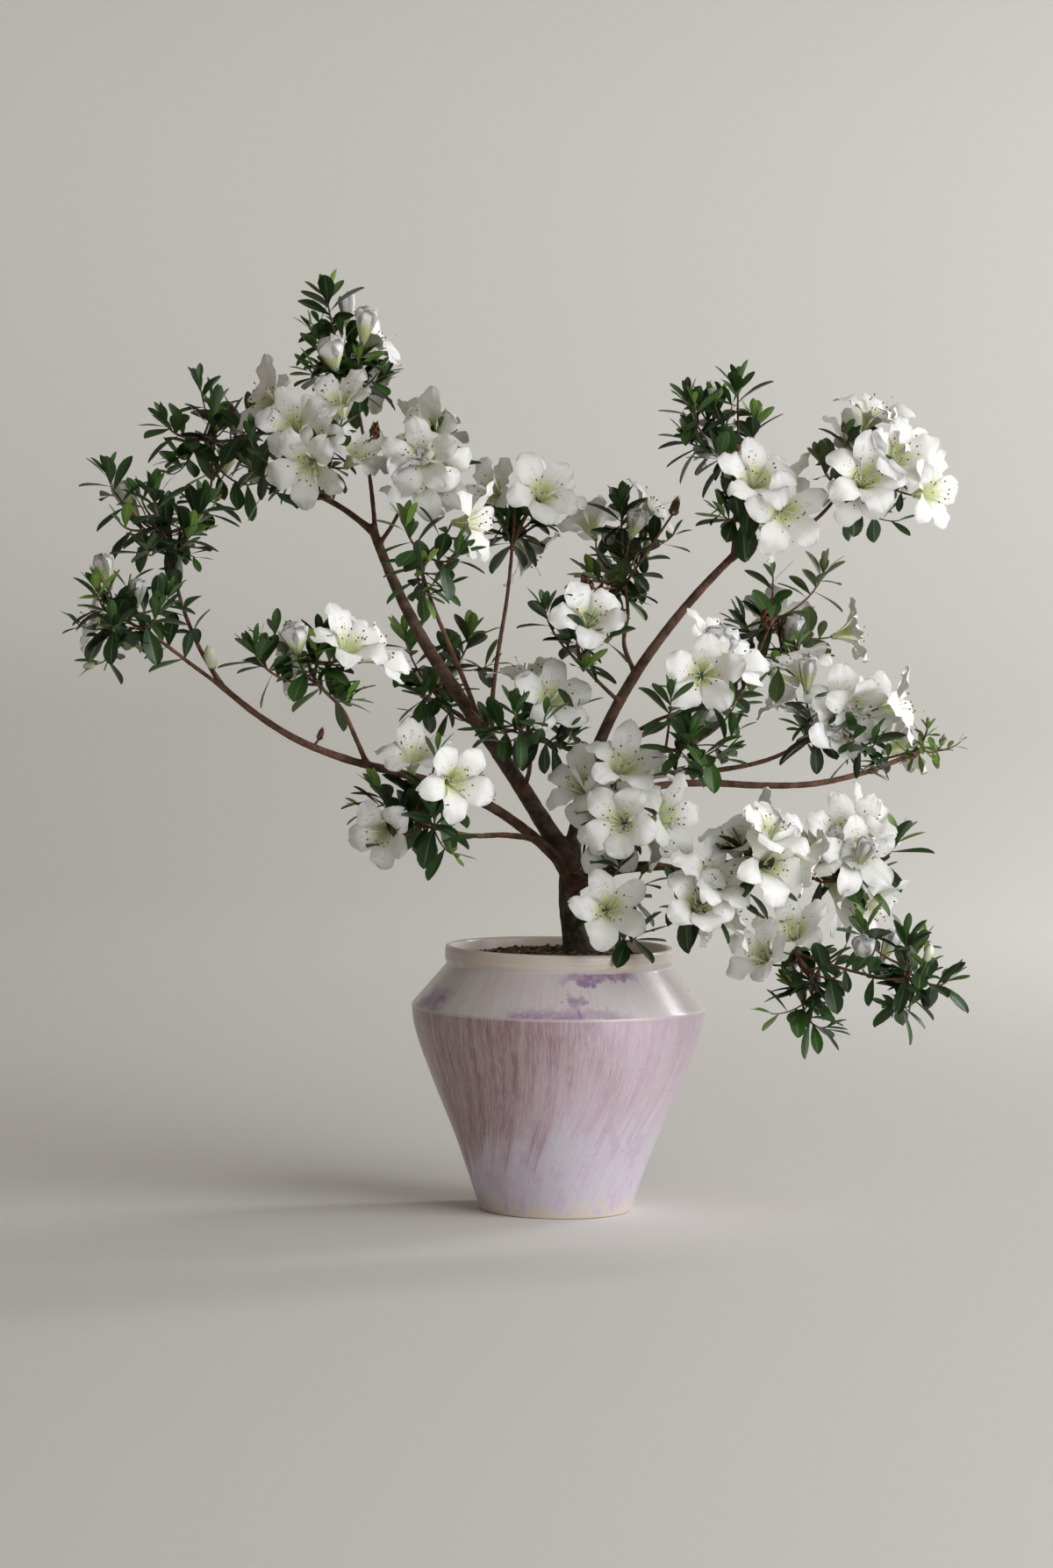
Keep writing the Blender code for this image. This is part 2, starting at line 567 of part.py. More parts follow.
class ClumpBuilder:
    """Grows one clump: a stem from its limb, shoots off it, and a flower or leaves on each shoot."""

    def __init__(self, clump, shapes, obstacles, leaf, bloom, bark):
        self.clump = clump
        self.obstacles = obstacles
        self.leaf = leaf
        self.bloom = bloom
        self.bark = bark
        self.pieces = new_operands(clump.name)
        self.heads = []
        self.stem = self.stem_line(*shapes[clump.limb])

    def stem_line(self, line, radii):
        """The stem's points, from just clear of the limb to near the middle of the space."""
        middle = Vector(self.clump.middle)
        place, heading = point_on(line, self.clump.at)
        offset = CLEAR
        if self.clump.at < 1.0:
            toward = middle - place
            offset += value_on(radii, self.clump.at)
            heading = (toward - heading * toward.dot(heading)).normalized()
        place = place + heading * offset
        reach = max(STEM_LEAST, (middle - place).length * STEM_REACH)
        foot = place + heading * STEM_FOOT
        end = foot + (heading * 0.5 + (middle - foot).normalized()).normalized() * reach
        return [place, *curved_line(foot, foot + heading * reach * TWIG_BEND, end, TWIG_STATIONS)]

    def add(self, mesh, matrix, barred):
        """Puts a piece among those to be joined, unless it meets something that is barred to it."""
        piece = swollen_tree(mesh, matrix)
        if any(piece.overlap(other) for other in barred):
            return False
        thing = add_object("piece", mesh, self.pieces)
        thing.matrix_world = matrix
        if mesh in (self.leaf, self.bloom):
            self.heads.append(piece)
        return True

    def twig(self, base, end, heading):
        """A shoot from the stem that bends into its last heading."""
        control = end - heading * (end - base).length * TWIG_BEND
        line = curved_line(base, control, end, TWIG_STATIONS)
        mesh = swept(line, tapered(TWIG_RADII, TWIG_STATIONS), TWIG_SIDES)
        mesh.materials.append(self.bark)
        return self.add(mesh, Matrix(), self.obstacles)

    def leaves(self, place, heading, rng):
        """Leaves up the end of a shoot, wide open at the bottom and steeper at the top."""
        across = heading.orthogonal().normalized()
        first = rng.uniform(0.0, 2.0 * math.pi)
        for number in range(LEAVES_IN_SPRAY):
            tilt = blend(LEAF_TILTS, number / (LEAVES_IN_SPRAY - 1))
            tilt = math.radians(tilt + rng.uniform(-LEAF_TILT_PLAY, LEAF_TILT_PLAY))
            size = rng.uniform(*LEAF_SIZES)
            roll = rng.uniform(-LEAF_ROLL_PLAY, LEAF_ROLL_PLAY)
            aside = across.copy()
            aside.rotate(Matrix.Rotation(first + number * GOLDEN_ANGLE, 3, heading))
            along = heading * math.cos(tilt) + aside * math.sin(tilt)
            root = place - heading * (LEAF_SPACING * (LEAVES_IN_SPRAY - 1 - number) + LEAF_SUNK)
            if in_space(self.clump, root + along * LEAF_LENGTH * size):
                self.add(self.leaf, frame_at(root, along, roll, size), [*self.obstacles, *self.heads])

    def grow(self):
        """Deals out the shoots and joins everything into one solid."""
        clump = self.clump
        spots = shoot_spots(clump.blooms + clump.sprays, clump.seed)
        for number, spot in enumerate(spots):
            rng = random.Random(clump.seed * 100 + number)
            head = Vector([clump.middle[i] + spot[i] * clump.half[i] for i in range(3)])
            base = point_on(self.stem, rng.uniform(*SHOOTS_FROM))[0]
            if number < clump.blooms:
                heading = facing_of(clump, spot)
                neck = head - heading * BLOOM_DEPTH * BLOOM_SET_BACK
                turn = rng.uniform(0.0, 2.0 * math.pi)
                size = rng.uniform(*BLOOM_SIZES)
                if self.twig(base, neck + heading * TWIG_IN_NECK, heading):
                    self.add(self.bloom, frame_at(neck, heading, turn, size), self.obstacles)
            else:
                heading = ((head - base).normalized() + UP * RISE).normalized()
                if self.twig(base, head, heading):
                    self.leaves(head, heading, rng)
        stem = swept(self.stem, tapered(STEM_RADII, len(self.stem)), TWIG_SIDES)
        stem.materials.append(self.bark)
        return boolean(stem, "UNION", self.pieces)


def build_clumps(shapes, limb_trees, bark):
    """Every mass of foliage, each clear of the limbs and of the masses made before it."""
    leaf = leaf_mesh()
    bloom = bloom_mesh()
    green = material("leaf green", LEAF_GREEN, 0.45)
    white = material("petal white", BLOOM_WHITE, 0.6)
    leaf.materials.append(green)
    bloom.materials.append(white)
    grown = {}
    for clump in CLUMPS:
        obstacles = [*limb_trees.values(), *grown.values()]
        mesh = ClumpBuilder(clump, shapes, obstacles, leaf, bloom, bark).grow()
        add_object(clump.name, mesh, SHRUB)
        grown[clump.name] = tree_of(mesh)


def build_shrub():
    """The whole shrub in its pot."""
    bark = material("brown bark", BARK, 0.85)
    reddish = material("reddish bark", REDDISH_BARK, 0.75)
    build_pot()
    build_potting_mix()
    shapes, limb_trees = build_limbs(bark, reddish)
    build_clumps(shapes, limb_trees, reddish)
    for leftover in list(BENCH.objects):
        bpy.data.objects.remove(leftover, do_unlink=True)
    bpy.data.collections.remove(BENCH)


build_shrub()
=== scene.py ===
import json
import math
import random
from collections import namedtuple

import bpy
import numpy as np
from mathutils import Matrix, Vector, noise
from mathutils.kdtree import KDTree

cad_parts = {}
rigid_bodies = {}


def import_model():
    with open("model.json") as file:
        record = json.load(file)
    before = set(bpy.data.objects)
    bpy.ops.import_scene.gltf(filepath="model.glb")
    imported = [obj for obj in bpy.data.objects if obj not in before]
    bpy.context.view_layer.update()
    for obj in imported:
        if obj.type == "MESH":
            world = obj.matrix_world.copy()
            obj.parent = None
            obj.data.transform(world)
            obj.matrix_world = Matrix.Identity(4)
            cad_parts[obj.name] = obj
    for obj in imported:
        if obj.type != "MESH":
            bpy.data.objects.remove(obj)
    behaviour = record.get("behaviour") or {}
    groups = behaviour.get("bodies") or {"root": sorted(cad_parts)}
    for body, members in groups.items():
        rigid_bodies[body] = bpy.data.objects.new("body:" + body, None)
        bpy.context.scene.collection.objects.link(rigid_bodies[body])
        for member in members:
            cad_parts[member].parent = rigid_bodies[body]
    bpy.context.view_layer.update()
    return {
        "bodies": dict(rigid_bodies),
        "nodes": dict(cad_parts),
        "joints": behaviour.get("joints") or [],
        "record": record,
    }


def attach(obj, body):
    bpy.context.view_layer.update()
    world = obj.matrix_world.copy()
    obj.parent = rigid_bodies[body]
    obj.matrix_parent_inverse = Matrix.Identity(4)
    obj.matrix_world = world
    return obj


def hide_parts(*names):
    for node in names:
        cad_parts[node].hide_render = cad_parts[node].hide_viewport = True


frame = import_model()
bpy.ops.object.select_all(action="DESELECT")

# ---- The pot ---------------------------------------------------------------------------------------
# Thrown stoneware in one piece: a narrow foot, a wall that opens to a sharp shoulder, and an upright
# rim band with the marks of the wheel.  Dipped in off-white glaze and brushed over with lilac.

MM = 0.001
POT_FACES_ROUND = 144
POT_OUTLINE = (                # radius, height and rounding of each corner, from under the foot to inside
    (66.0, 0.0, 0.0), (69.3, 0.0, 1.2), (70.7, 4.0, 1.0), (92.0, 65.0, 18.0), (107.0, 100.0, 16.0),
    (126.5, 148.0, 16.0), (133.6, 172.0, 9.0), (134.6, 184.6, 1.2), (135.0, 187.6, 1.6),
    (132.6, 190.6, 3.0), (102.6, 226.2, 2.2), (104.9, 229.6, 1.6), (105.0, 240.2, 2.2),
    (103.6, 242.7, 1.2), (99.6, 242.3, 2.0), (96.0, 226.5, 6.0), (110.0, 208.0, 0.0),
)


def rounded(outline, steps=4):
    """The outline's points, with each corner turned into a short curve."""
    points = [Vector(outline[0][:2])]
    for before, corner, after in zip(outline, outline[1:], outline[2:]):
        middle = Vector(corner[:2])
        ways = [Vector(other[:2]) - middle for other in (before, after)]
        start, end = [middle + way.normalized() * min(corner[2], way.length * 0.48) for way in ways]
        for step in range(steps + 1):
            along = step / steps
            points.append(start.lerp(middle, along).lerp(middle.lerp(end, along), along))
    points.append(Vector(outline[-1][:2]))
    return points


def turned(name, points):
    """A wall drawn up from a disc, ring by ring, through the points of the outline."""
    foot = points[0]
    bpy.ops.mesh.primitive_circle_add(
        vertices=POT_FACES_ROUND, radius=foot.x * MM, fill_type="NGON", location=(0.0, 0.0, foot.y * MM)
    )
    bpy.ops.object.mode_set(mode="EDIT")
    bpy.ops.mesh.select_all(action="SELECT")
    for before, after in zip(points, points[1:]):
        rise = (after.y - before.y) * MM
        bpy.ops.mesh.extrude_region_move(TRANSFORM_OT_translate={"value": (0.0, 0.0, rise)})
        widening = after.x / before.x
        bpy.ops.transform.resize(value=(widening, widening, 1.0), center_override=(0.0, 0.0, after.y * MM))
    bpy.ops.mesh.select_all(action="SELECT")
    bpy.ops.mesh.normals_make_consistent(inside=False)
    bpy.ops.object.mode_set(mode="OBJECT")
    bpy.ops.object.transform_apply(location=True, rotation=True, scale=True)
    bpy.ops.object.shade_smooth_by_angle(angle=math.radians(40.0))
    piece = bpy.context.active_object
    piece.name = name
    piece.select_set(False)
    return piece


def surface(name, **values):
    """A material whose plain values stand on the shader's own sockets; gives it and its shader."""
    finish = bpy.data.materials.new(name)
    finish.use_nodes = True
    shader = finish.node_tree.nodes["Principled BSDF"]
    for socket, value in values.items():
        shader.inputs[socket.replace("_", " ")].default_value = value
    return finish, shader


def node(tree, kind, inputs=(), output=0, **settings):
    """A new node with its settings, and with values or links on its inputs; gives one of its outputs."""
    made = tree.nodes.new("ShaderNode" + kind)
    for key, value in settings.items():
        setattr(made, key, value)
    for key, value in dict(inputs).items():
        if isinstance(value, bpy.types.NodeSocket):
            tree.links.new(value, made.inputs[key])
        else:
            made.inputs[key].default_value = value
    return made.outputs[output]


def mixed(tree, mask, first, second):
    """The first colour where the mask is 0 and the second where it is 1."""
    return node(tree, "Mix", {0: mask, 6: first, 7: second}, output=2, data_type="RGBA")


def stepped(tree, value, low, high):
    """0 below low, 1 above high, and a soft change between."""
    return node(tree, "MapRange", {0: value, 1: low, 2: high}, interpolation_type="SMOOTHSTEP")


def maths(tree, operation, first, second=0.0):
    """One sum of two values."""
    return node(tree, "Math", {0: first, 1: second}, operation=operation)


def summed(tree, start, *parts):
    """The start and the parts, each part at its share."""
    for value, share in parts:
        start = node(tree, "Math", {0: value, 1: share, 2: start}, operation="MULTIPLY_ADD")
    return start


def strayed(tree, value, *noises):
    """The value, strayed to and fro by each noise as far as its reach."""
    middle = maths(tree, "SUBTRACT", value, sum(reach for _, reach in noises) / 2.0)
    return summed(tree, middle, *noises)


def noisy(tree, place, scale, detail, roughness=0.5):
    """A noise that changes from place to place, as fine as its scale."""
    return node(tree, "TexNoise", {"Vector": place, "Scale": scale, "Detail": detail, "Roughness": roughness})


def drawn_out(tree, place, by):
    """The place, times a vector, so that a noise on it is drawn out."""
    return node(tree, "VectorMath", {0: place, 1: by}, operation="MULTIPLY")


def in_relief(tree, shader, height, strength, depth):
    """Gives the surface a height that changes over it, of that depth in metres."""
    bump = node(tree, "Bump", {"Height": height, "Strength": strength, "Distance": depth})
    tree.links.new(bump, shader.inputs["Normal"])


def rgb(*colour):
    """A colour with its alpha."""
    return (*colour, 1.0)


OFF_WHITE = rgb(0.69, 0.645, 0.63)
CREAM = rgb(0.67, 0.58, 0.48)
BLUISH_WHITE = rgb(0.63, 0.61, 0.68)
LILAC = rgb(0.52, 0.34, 0.50)
# The darker mauve of the left side is partly the glaze's own colour and partly painted shade.
MAUVE_AND_PAINTED_SHADE = rgb(0.29, 0.15, 0.165)
PURPLE = rgb(0.27, 0.14, 0.32)
PEACH = rgb(0.76, 0.56, 0.42)
SHOULDER_LINE = 0.1868         # these heights are in metres
RIM_LINE = 0.2262
FOOT_LINE = 0.0015
TORN_EDGE = (0.066, 0.108)     # where the strokes of the wall run out over the foot
LEAN_BELOW = 0.11
LEAN_BLEND = 0.06
STROKE_LEAN = -3.6             # radians a metre, of the strokes on the lower wall
STROKE_LENGTH = 0.55           # how fast a noise changes along a stroke, next to across it
CLOUD_HEIGHT = 9.0
WHEEL_LINES = 260.0
STROKE_GRAINS = ((150.0, 2.0, 0.6), (46.0, 3.0, 0.6), (13.0, 2.0, 0.5), (9.0, 3.0, 0.65))
CLOUD_GRAINS = ((1.7, 3.0, 0.55), (4.6, 3.0, 0.6), (11.0, 4.0, 0.65))
PATCHES = (                    # of purple: round the shoulder in radians from the front, and up in metres
    ((0.03, 0.46), (0.182, 0.1960)), ((0.12, 0.040), (0.186, 0.2100)), ((0.36, 0.38), (0.2170, 0.232)),
    ((-1.15, 0.20), (0.182, 0.208)), ((2.2, 0.5), (0.182, 0.200)), ((-2.5, 0.35), (0.212, 0.232)),
)
Brushwork = namedtuple("Brushwork", "x y z round_it strokes fine drips clouds blots washed")


def risen(tree, round_it, height, share):
    """A place on the wall for a noise: the way round, and the height at its share."""
    up = node(tree, "CombineXYZ", {2: maths(tree, "MULTIPLY", height, share)})
    return node(tree, "VectorMath", {0: round_it, 1: up}, operation="ADD")


def brushwork(tree):
    """What the colours follow: the place on the pot, the brush strokes, and the clouds in the glaze."""
    x, y, z = node(tree, "SeparateXYZ", {0: node(tree, "TexCoord", output=3)}).node.outputs
    level = node(tree, "CombineXYZ", {0: x, 1: y})
    round_it = node(tree, "VectorMath", {0: level}, operation="NORMALIZE")
    low = node(tree, "Math", {0: z, 1: LEAN_BELOW, 2: LEAN_BLEND}, operation="SMOOTH_MIN")
    leaning = maths(tree, "MULTIPLY", low, STROKE_LEAN)
    lean = node(tree, "VectorRotate", {0: round_it, "Angle": leaning}, rotation_type="Z_AXIS")
    strokes_at = risen(tree, lean, z, STROKE_LENGTH)
    clouds_at = risen(tree, round_it, z, CLOUD_HEIGHT)
    hair, fine, wide, drips = (noisy(tree, strokes_at, *grain) for grain in STROKE_GRAINS)
    clouds, blots, washed = (noisy(tree, clouds_at, *grain) for grain in CLOUD_GRAINS)
    strokes = stepped(tree, summed(tree, 0.0, (fine, 0.40), (wide, 0.30), (hair, 0.6)), 0.54, 0.77)
    return Brushwork(x, y, z, round_it, strokes, fine, drips, clouds, blots, washed)


def wall_colour(tree, brush):
    """Strokes of mauve and lilac over off-white, a bluish foot where they run out, and painted shade on the
    left.
    """
    # The left side takes a darker mauve, and more of it: partly the glaze's own mauve, partly painted shade.
    right_lilac_left_painted_shade = stepped(tree, strayed(tree, brush.x, (brush.clouds, 0.3)), -0.10, 0.08)
    stroke_and_painted_shade_mask = summed(tree, 0.58, (right_lilac_left_painted_shade, -0.20), (brush.strokes, 0.42))
    wall = mixed(tree, stroke_and_painted_shade_mask, OFF_WHITE, mixed(tree, right_lilac_left_painted_shade, MAUVE_AND_PAINTED_SHADE, LILAC))
    foot_mask = summed(tree, 0.06, (brush.strokes, 0.34), (stepped(tree, brush.blots, 0.50, 0.64), 0.30))
    foot = mixed(tree, foot_mask, BLUISH_WHITE, LILAC)
    covered = stepped(tree, strayed(tree, brush.z, (brush.blots, 0.12)), 0.0, 0.016)
    foot = mixed(tree, summed(tree, 0.8, (covered, -0.8)), foot, CREAM)
    torn_edge_and_painted_shade = strayed(tree, brush.z, (brush.drips, 0.13), (brush.fine, 0.05))
    # On the left the mauve runs down nearer the foot: partly the glaze, partly painted shade.
    torn_edge_and_painted_shade = summed(tree, torn_edge_and_painted_shade, (maths(tree, "MINIMUM", brush.x, 0.0), -0.55))
    return mixed(tree, stepped(tree, torn_edge_and_painted_shade, *TORN_EDGE), foot, wall)


def patch_mask(tree, turn, height, round_it, up):
    """A patch with soft ragged edges, round the pot and up it."""
    aside = maths(tree, "ABSOLUTE", maths(tree, "SUBTRACT", turn, round_it[0]))
    beside = stepped(tree, aside, round_it[1] * 0.6, round_it[1] * 1.2)
    above = stepped(tree, height, up[1] - 0.005, up[1] + 0.001)
    inside = stepped(tree, height, up[0], up[0] + 0.004)
    for outside in (beside, above):
        inside = maths(tree, "MULTIPLY", inside, maths(tree, "SUBTRACT", 1.0, outside))
    return inside


def shoulder_colour(tree, brush):
    """Off-white with thin strokes, and patches where the purple has pooled."""
    turn = maths(tree, "ARCTAN2", brush.x, maths(tree, "MULTIPLY", brush.y, -1.0))
    turn = strayed(tree, turn, (brush.blots, 0.55))
    ragged = strayed(tree, brush.z, (brush.washed, 0.030))
    purple = patch_mask(tree, turn, ragged, *PATCHES[0])
    for patch in PATCHES[1:]:
        purple = maths(tree, "MAXIMUM", purple, patch_mask(tree, turn, ragged, *patch))
    pooled = summed(tree, 0.34, (stepped(tree, brush.washed, 0.36, 0.64), 0.50))
    cloudy = stepped(tree, brush.clouds, 0.38, 0.62)
    colour = mixed(tree, maths(tree, "MULTIPLY", brush.strokes, 0.30), OFF_WHITE, LILAC)
    colour = mixed(tree, maths(tree, "MULTIPLY", cloudy, 0.25), colour, BLUISH_WHITE)
    return mixed(tree, maths(tree, "MULTIPLY", purple, pooled), colour, PURPLE)


def rim_colour(tree, brush):
    """Cream and off-white in the lines of the wheel, with peach and lilac clouds."""
    lines = noisy(tree, risen(tree, brush.round_it, brush.z, WHEEL_LINES), 1.6, 3.0, 0.6)
    colour = mixed(tree, stepped(tree, lines, 0.42, 0.60), CREAM, OFF_WHITE)
    colour = mixed(tree, maths(tree, "MULTIPLY", stepped(tree, brush.blots, 0.50, 0.68), 0.45), colour, PEACH)
    return mixed(tree, maths(tree, "MULTIPLY", stepped(tree, brush.clouds, 0.54, 0.70), 0.35), colour, LILAC)


def brushed_glaze():
    """The wall, the shoulder, its pale edge, the rim and the bare foot, under a clear coat."""
    finish, shader = surface("brushed_glaze", Roughness=0.3, Coat_Weight=0.42, Coat_Roughness=0.2)
    tree = finish.node_tree
    brush = brushwork(tree)
    on_shoulder = stepped(tree, brush.z, SHOULDER_LINE, SHOULDER_LINE + 0.0016)
    colour = mixed(tree, on_shoulder, wall_colour(tree, brush), shoulder_colour(tree, brush))
    off_edge = maths(tree, "ABSOLUTE", maths(tree, "SUBTRACT", brush.z, SHOULDER_LINE))
    edge = summed(tree, 0.5, (stepped(tree, off_edge, 0.0006, 0.002), -0.5))
    colour = mixed(tree, edge, colour, OFF_WHITE)
    colour = mixed(tree, stepped(tree, brush.z, RIM_LINE, RIM_LINE + 0.001), colour, rim_colour(tree, brush))
    colour = mixed(tree, stepped(tree, brush.z, FOOT_LINE, FOOT_LINE + 0.0035), CREAM, colour)
    tree.links.new(colour, shader.inputs["Base Color"])
    rings = noisy(tree, node(tree, "CombineXYZ", {2: brush.z}), 420.0, 2.0)
    stroke_depth = summed(tree, 0.4, (stepped(tree, brush.z, 0.224, 0.227), -0.4))
    in_relief(tree, shader, summed(tree, rings, (brush.fine, stroke_depth)), 0.16, 0.0012)
    rough = node(tree, "MapRange", {0: brush.blots, 1: 0.3, 2: 0.7, 3: 0.26, 4: 0.38})
    tree.links.new(rough, shader.inputs["Roughness"])
    return finish


pot = turned("glazed_pot", rounded(POT_OUTLINE))
pot.data.materials.append(brushed_glaze())
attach(pot, "root")
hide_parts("pot")

# ---- The potting mix -------------------------------------------------------------------------------
# Composted bark and fired clay grit, level round the trunk and lower at the wall.  A bed with the lumps
# of the mix, and on it chips and grains that lie loose.

BED_HEIGHTS = ((0.0, 236.6), (46.0, 236.4), (75.0, 232.3), (96.2, 227.6))     # radius and level
BED_RADIUS = 95.4
BED_RINGS = 30
BED_FACES_ROUND = 120
LUMPS = ((110.0, 1.3), (320.0, 0.7))       # how fine, and how high
CHIP_SIZE = (8.0, 4.5, 2.4)
GRAIN_SIZE = (3.2, 2.8, 2.4)
CHIP_KINDS = 8
CHIPS, GRAINS = 420, 1500
CHIP_LIFT = 0.9                # from the bed to the middle of a chip
GRAIN_SUNK = 0.2
CHIP_TILT = 0.35
Shape = namedtuple("Shape", "points corners sizes kinds maps")


def bed_height(radius):
    """The level of the bed at that distance from the middle."""
    return float(np.interp(radius, *zip(*BED_HEIGHTS)))


def shape_of(points, faces, kinds=0, maps=None):
    """A small shape: its points, its faces, the finish of each face and where each point is on its map."""
    points = np.array(points, dtype=float)
    sizes = np.array([len(face) for face in faces])
    corners = np.array([corner for face in faces for corner in face])
    kinds = np.broadcast_to(np.array(kinds), sizes.shape)
    maps = points[:, :2] if maps is None else np.array(maps, dtype=float)
    return Shape(points, corners, sizes, kinds, maps)


class Heap:
    """Small shapes of one kind in millimetres, gathered into one mesh."""

    def __init__(self):
        self.shapes = []
        self.count = 0

    def add(self, shape, matrix=None, kind=None):
        """Puts in one copy where the matrix places it; a kind gives all its faces that finish."""
        points = shape.points
        if matrix is not None:
            turned_axes = np.array(matrix.to_3x3())
            points = points @ turned_axes.T + np.array(matrix.translation)
        kinds = shape.kinds if kind is None else np.full(shape.sizes.shape, kind)
        self.shapes.append(Shape(points, shape.corners + self.count, shape.sizes, kinds, shape.maps))
        self.count += len(points)

    def build(self, name, finishes, smooth=True):
        """The piece that holds everything in the heap."""
        points, corners, sizes, kinds, maps = (np.concatenate(part) for part in zip(*self.shapes))
        mesh = bpy.data.meshes.new(name)
        mesh.vertices.add(len(points))
        mesh.vertices.foreach_set("co", (points * MM).ravel())
        mesh.loops.add(len(corners))
        mesh.loops.foreach_set("vertex_index", corners)
        mesh.polygons.add(len(sizes))
        mesh.polygons.foreach_set("loop_start", np.concatenate(([0], np.cumsum(sizes)[:-1])))
        mesh.polygons.foreach_set("material_index", kinds)
        mesh.polygons.foreach_set("use_smooth", np.full(len(sizes), smooth))
        for finish in finishes:
            mesh.materials.append(finish)
        layer = mesh.uv_layers.new(name="shape_map")
        layer.data.foreach_set("uv", maps[corners].ravel())
        mesh.update(calc_edges=True)
        mesh.validate()
        piece = bpy.data.objects.new(name, mesh)
        bpy.context.scene.collection.objects.link(piece)
        return piece


def effect(name, inputs, outputs):
    """An empty node group with named sockets; gives it, its inputs and the sockets it puts out."""
    group = bpy.data.node_groups.new(name, "ShaderNodeTree")
    for way, sockets in (("INPUT", inputs), ("OUTPUT", outputs)):
        for socket, kind in sockets.items():
            group.interface.new_socket(socket, in_out=way, socket_type="NodeSocket" + kind)
    given = group.nodes.new("NodeGroupInput").outputs
    return group, given, group.nodes.new("NodeGroupOutput").inputs


def mottling():
    """The effect that changes a colour in blotches: two colours in, the mixed colour and a height out."""
    colours = {"First": "Color", "Second": "Color", "Scale": "Float"}
    group, given, out = effect("mottling", colours, {"Color": "Color", "Height": "Float"})
    blotch = noisy(group, node(group, "TexCoord", output=3), given["Scale"], 4.0, 0.62)
    colour = mixed(group, stepped(group, blotch, 0.36, 0.64), given["First"], given["Second"])
    group.links.new(colour, out["Color"])
    group.links.new(blotch, out["Height"])
    return group


MOTTLING = mottling()


def mottled(name, first, second, scale, depth, roughness):
    """A material in two colours, with the blotches also as a low relief of that depth in metres."""
    finish, shader = surface(name, Roughness=roughness)
    tree = finish.node_tree
    values = {"First": first, "Second": second, "Scale": scale}
    colour = node(tree, "Group", values, node_tree=MOTTLING)
    tree.links.new(colour, shader.inputs["Base Color"])
    in_relief(tree, shader, colour.node.outputs["Height"], 0.6, depth)
    return finish


def potting_bed():
    """A disc inset ring by ring, then laid to the levels and the lumps of the mix."""
    bpy.ops.mesh.primitive_circle_add(vertices=BED_FACES_ROUND, radius=BED_RADIUS * MM, fill_type="NGON")
    bpy.ops.object.mode_set(mode="EDIT")
    bpy.ops.mesh.select_all(action="SELECT")
    for _ in range(BED_RINGS):
        bpy.ops.mesh.inset(thickness=BED_RADIUS * MM / (BED_RINGS + 1.5))
    bpy.ops.object.mode_set(mode="OBJECT")
    piece = bpy.context.active_object
    piece.name = "potting_bed"
    for vertex in piece.data.vertices:
        radius = vertex.co.xy.length / MM
        lumps = sum(noise.noise(vertex.co * fine) * high for fine, high in LUMPS)
        vertex.co.z = (bed_height(radius) + lumps) * MM
    mix = mottled("moist_mix", rgb(0.035, 0.022, 0.014), rgb(0.13, 0.085, 0.05), 240.0, 0.002, 0.95)
    piece.data.materials.append(mix)
    bpy.ops.object.shade_smooth()
    piece.select_set(False)
    return piece


def chip(rng, size):
    """A rough block with no two corners alike."""
    points = []
    ends = (-0.5, 0.5)
    for corner in ((x, y, z) for x in ends for y in ends for z in ends):
        sides = zip(corner, size, (1.1, 1.2, 1.3))
        points.append([end * length * rng.uniform(0.6, most) for end, length, most in sides])
    faces = ((0, 1, 3, 2), (4, 6, 7, 5), (0, 4, 5, 1), (2, 3, 7, 6), (0, 2, 6, 4), (1, 5, 7, 3))
    return shape_of(points, faces)


def loose_mix():
    """Chips and grains that lie on the bed, spread evenly over it short of the wall."""
    rng = random.Random(61)
    chips = [chip(rng, CHIP_SIZE) for _ in range(CHIP_KINDS)]
    grains = [chip(rng, GRAIN_SIZE) for _ in range(CHIP_KINDS)]
    heap = Heap()
    for shapes, count, sunk in ((chips, CHIPS, 0.0), (grains, GRAINS, GRAIN_SUNK)):
        for _ in range(count):
            radius = BED_RADIUS * math.sqrt(rng.uniform(0.0, 0.93))
            turn = rng.uniform(0.0, 2.0 * math.pi)
            level = bed_height(radius) + CHIP_LIFT - sunk
            placed = Matrix.Translation((radius * math.cos(turn), radius * math.sin(turn), level))
            placed = placed @ Matrix.Rotation(rng.uniform(0.0, 2.0 * math.pi), 4, "Z")
            for axis in "XY":
                placed = placed @ Matrix.Rotation(rng.gauss(0.0, CHIP_TILT), 4, axis)
            placed = placed @ Matrix.Scale(rng.uniform(0.6, 1.15), 4)
            heap.add(rng.choice(shapes), placed, rng.choice((0, 0, 1, 1, 2, 3)))
    return heap.build("loose_bark_mix", [
        mottled("dark_chip", rgb(0.03, 0.018, 0.012), rgb(0.075, 0.045, 0.028), 300.0, 0.001, 0.9),
        mottled("brown_chip", rgb(0.085, 0.05, 0.028), rgb(0.19, 0.115, 0.06), 300.0, 0.001, 0.9),
        mottled("ochre_grit", rgb(0.26, 0.17, 0.09), rgb(0.42, 0.30, 0.17), 400.0, 0.001, 0.9),
        mottled("grey_grit", rgb(0.12, 0.10, 0.085), rgb(0.24, 0.21, 0.18), 400.0, 0.001, 0.9),
    ], smooth=False)


bed = potting_bed()
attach(bed, "root")
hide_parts("potting_mix")
chips_on_bed = loose_mix()
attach(chips_on_bed, "root")

# ---- The trunk and limbs ---------------------------------------------------------------------------
# Living wood: a short leaning trunk with a root flare, two leaders and the boughs that they carry.
# They grow into one another with a collar at each fork, under bark that is grey-brown and rough on the
# old wood and smooth and reddish on the young.

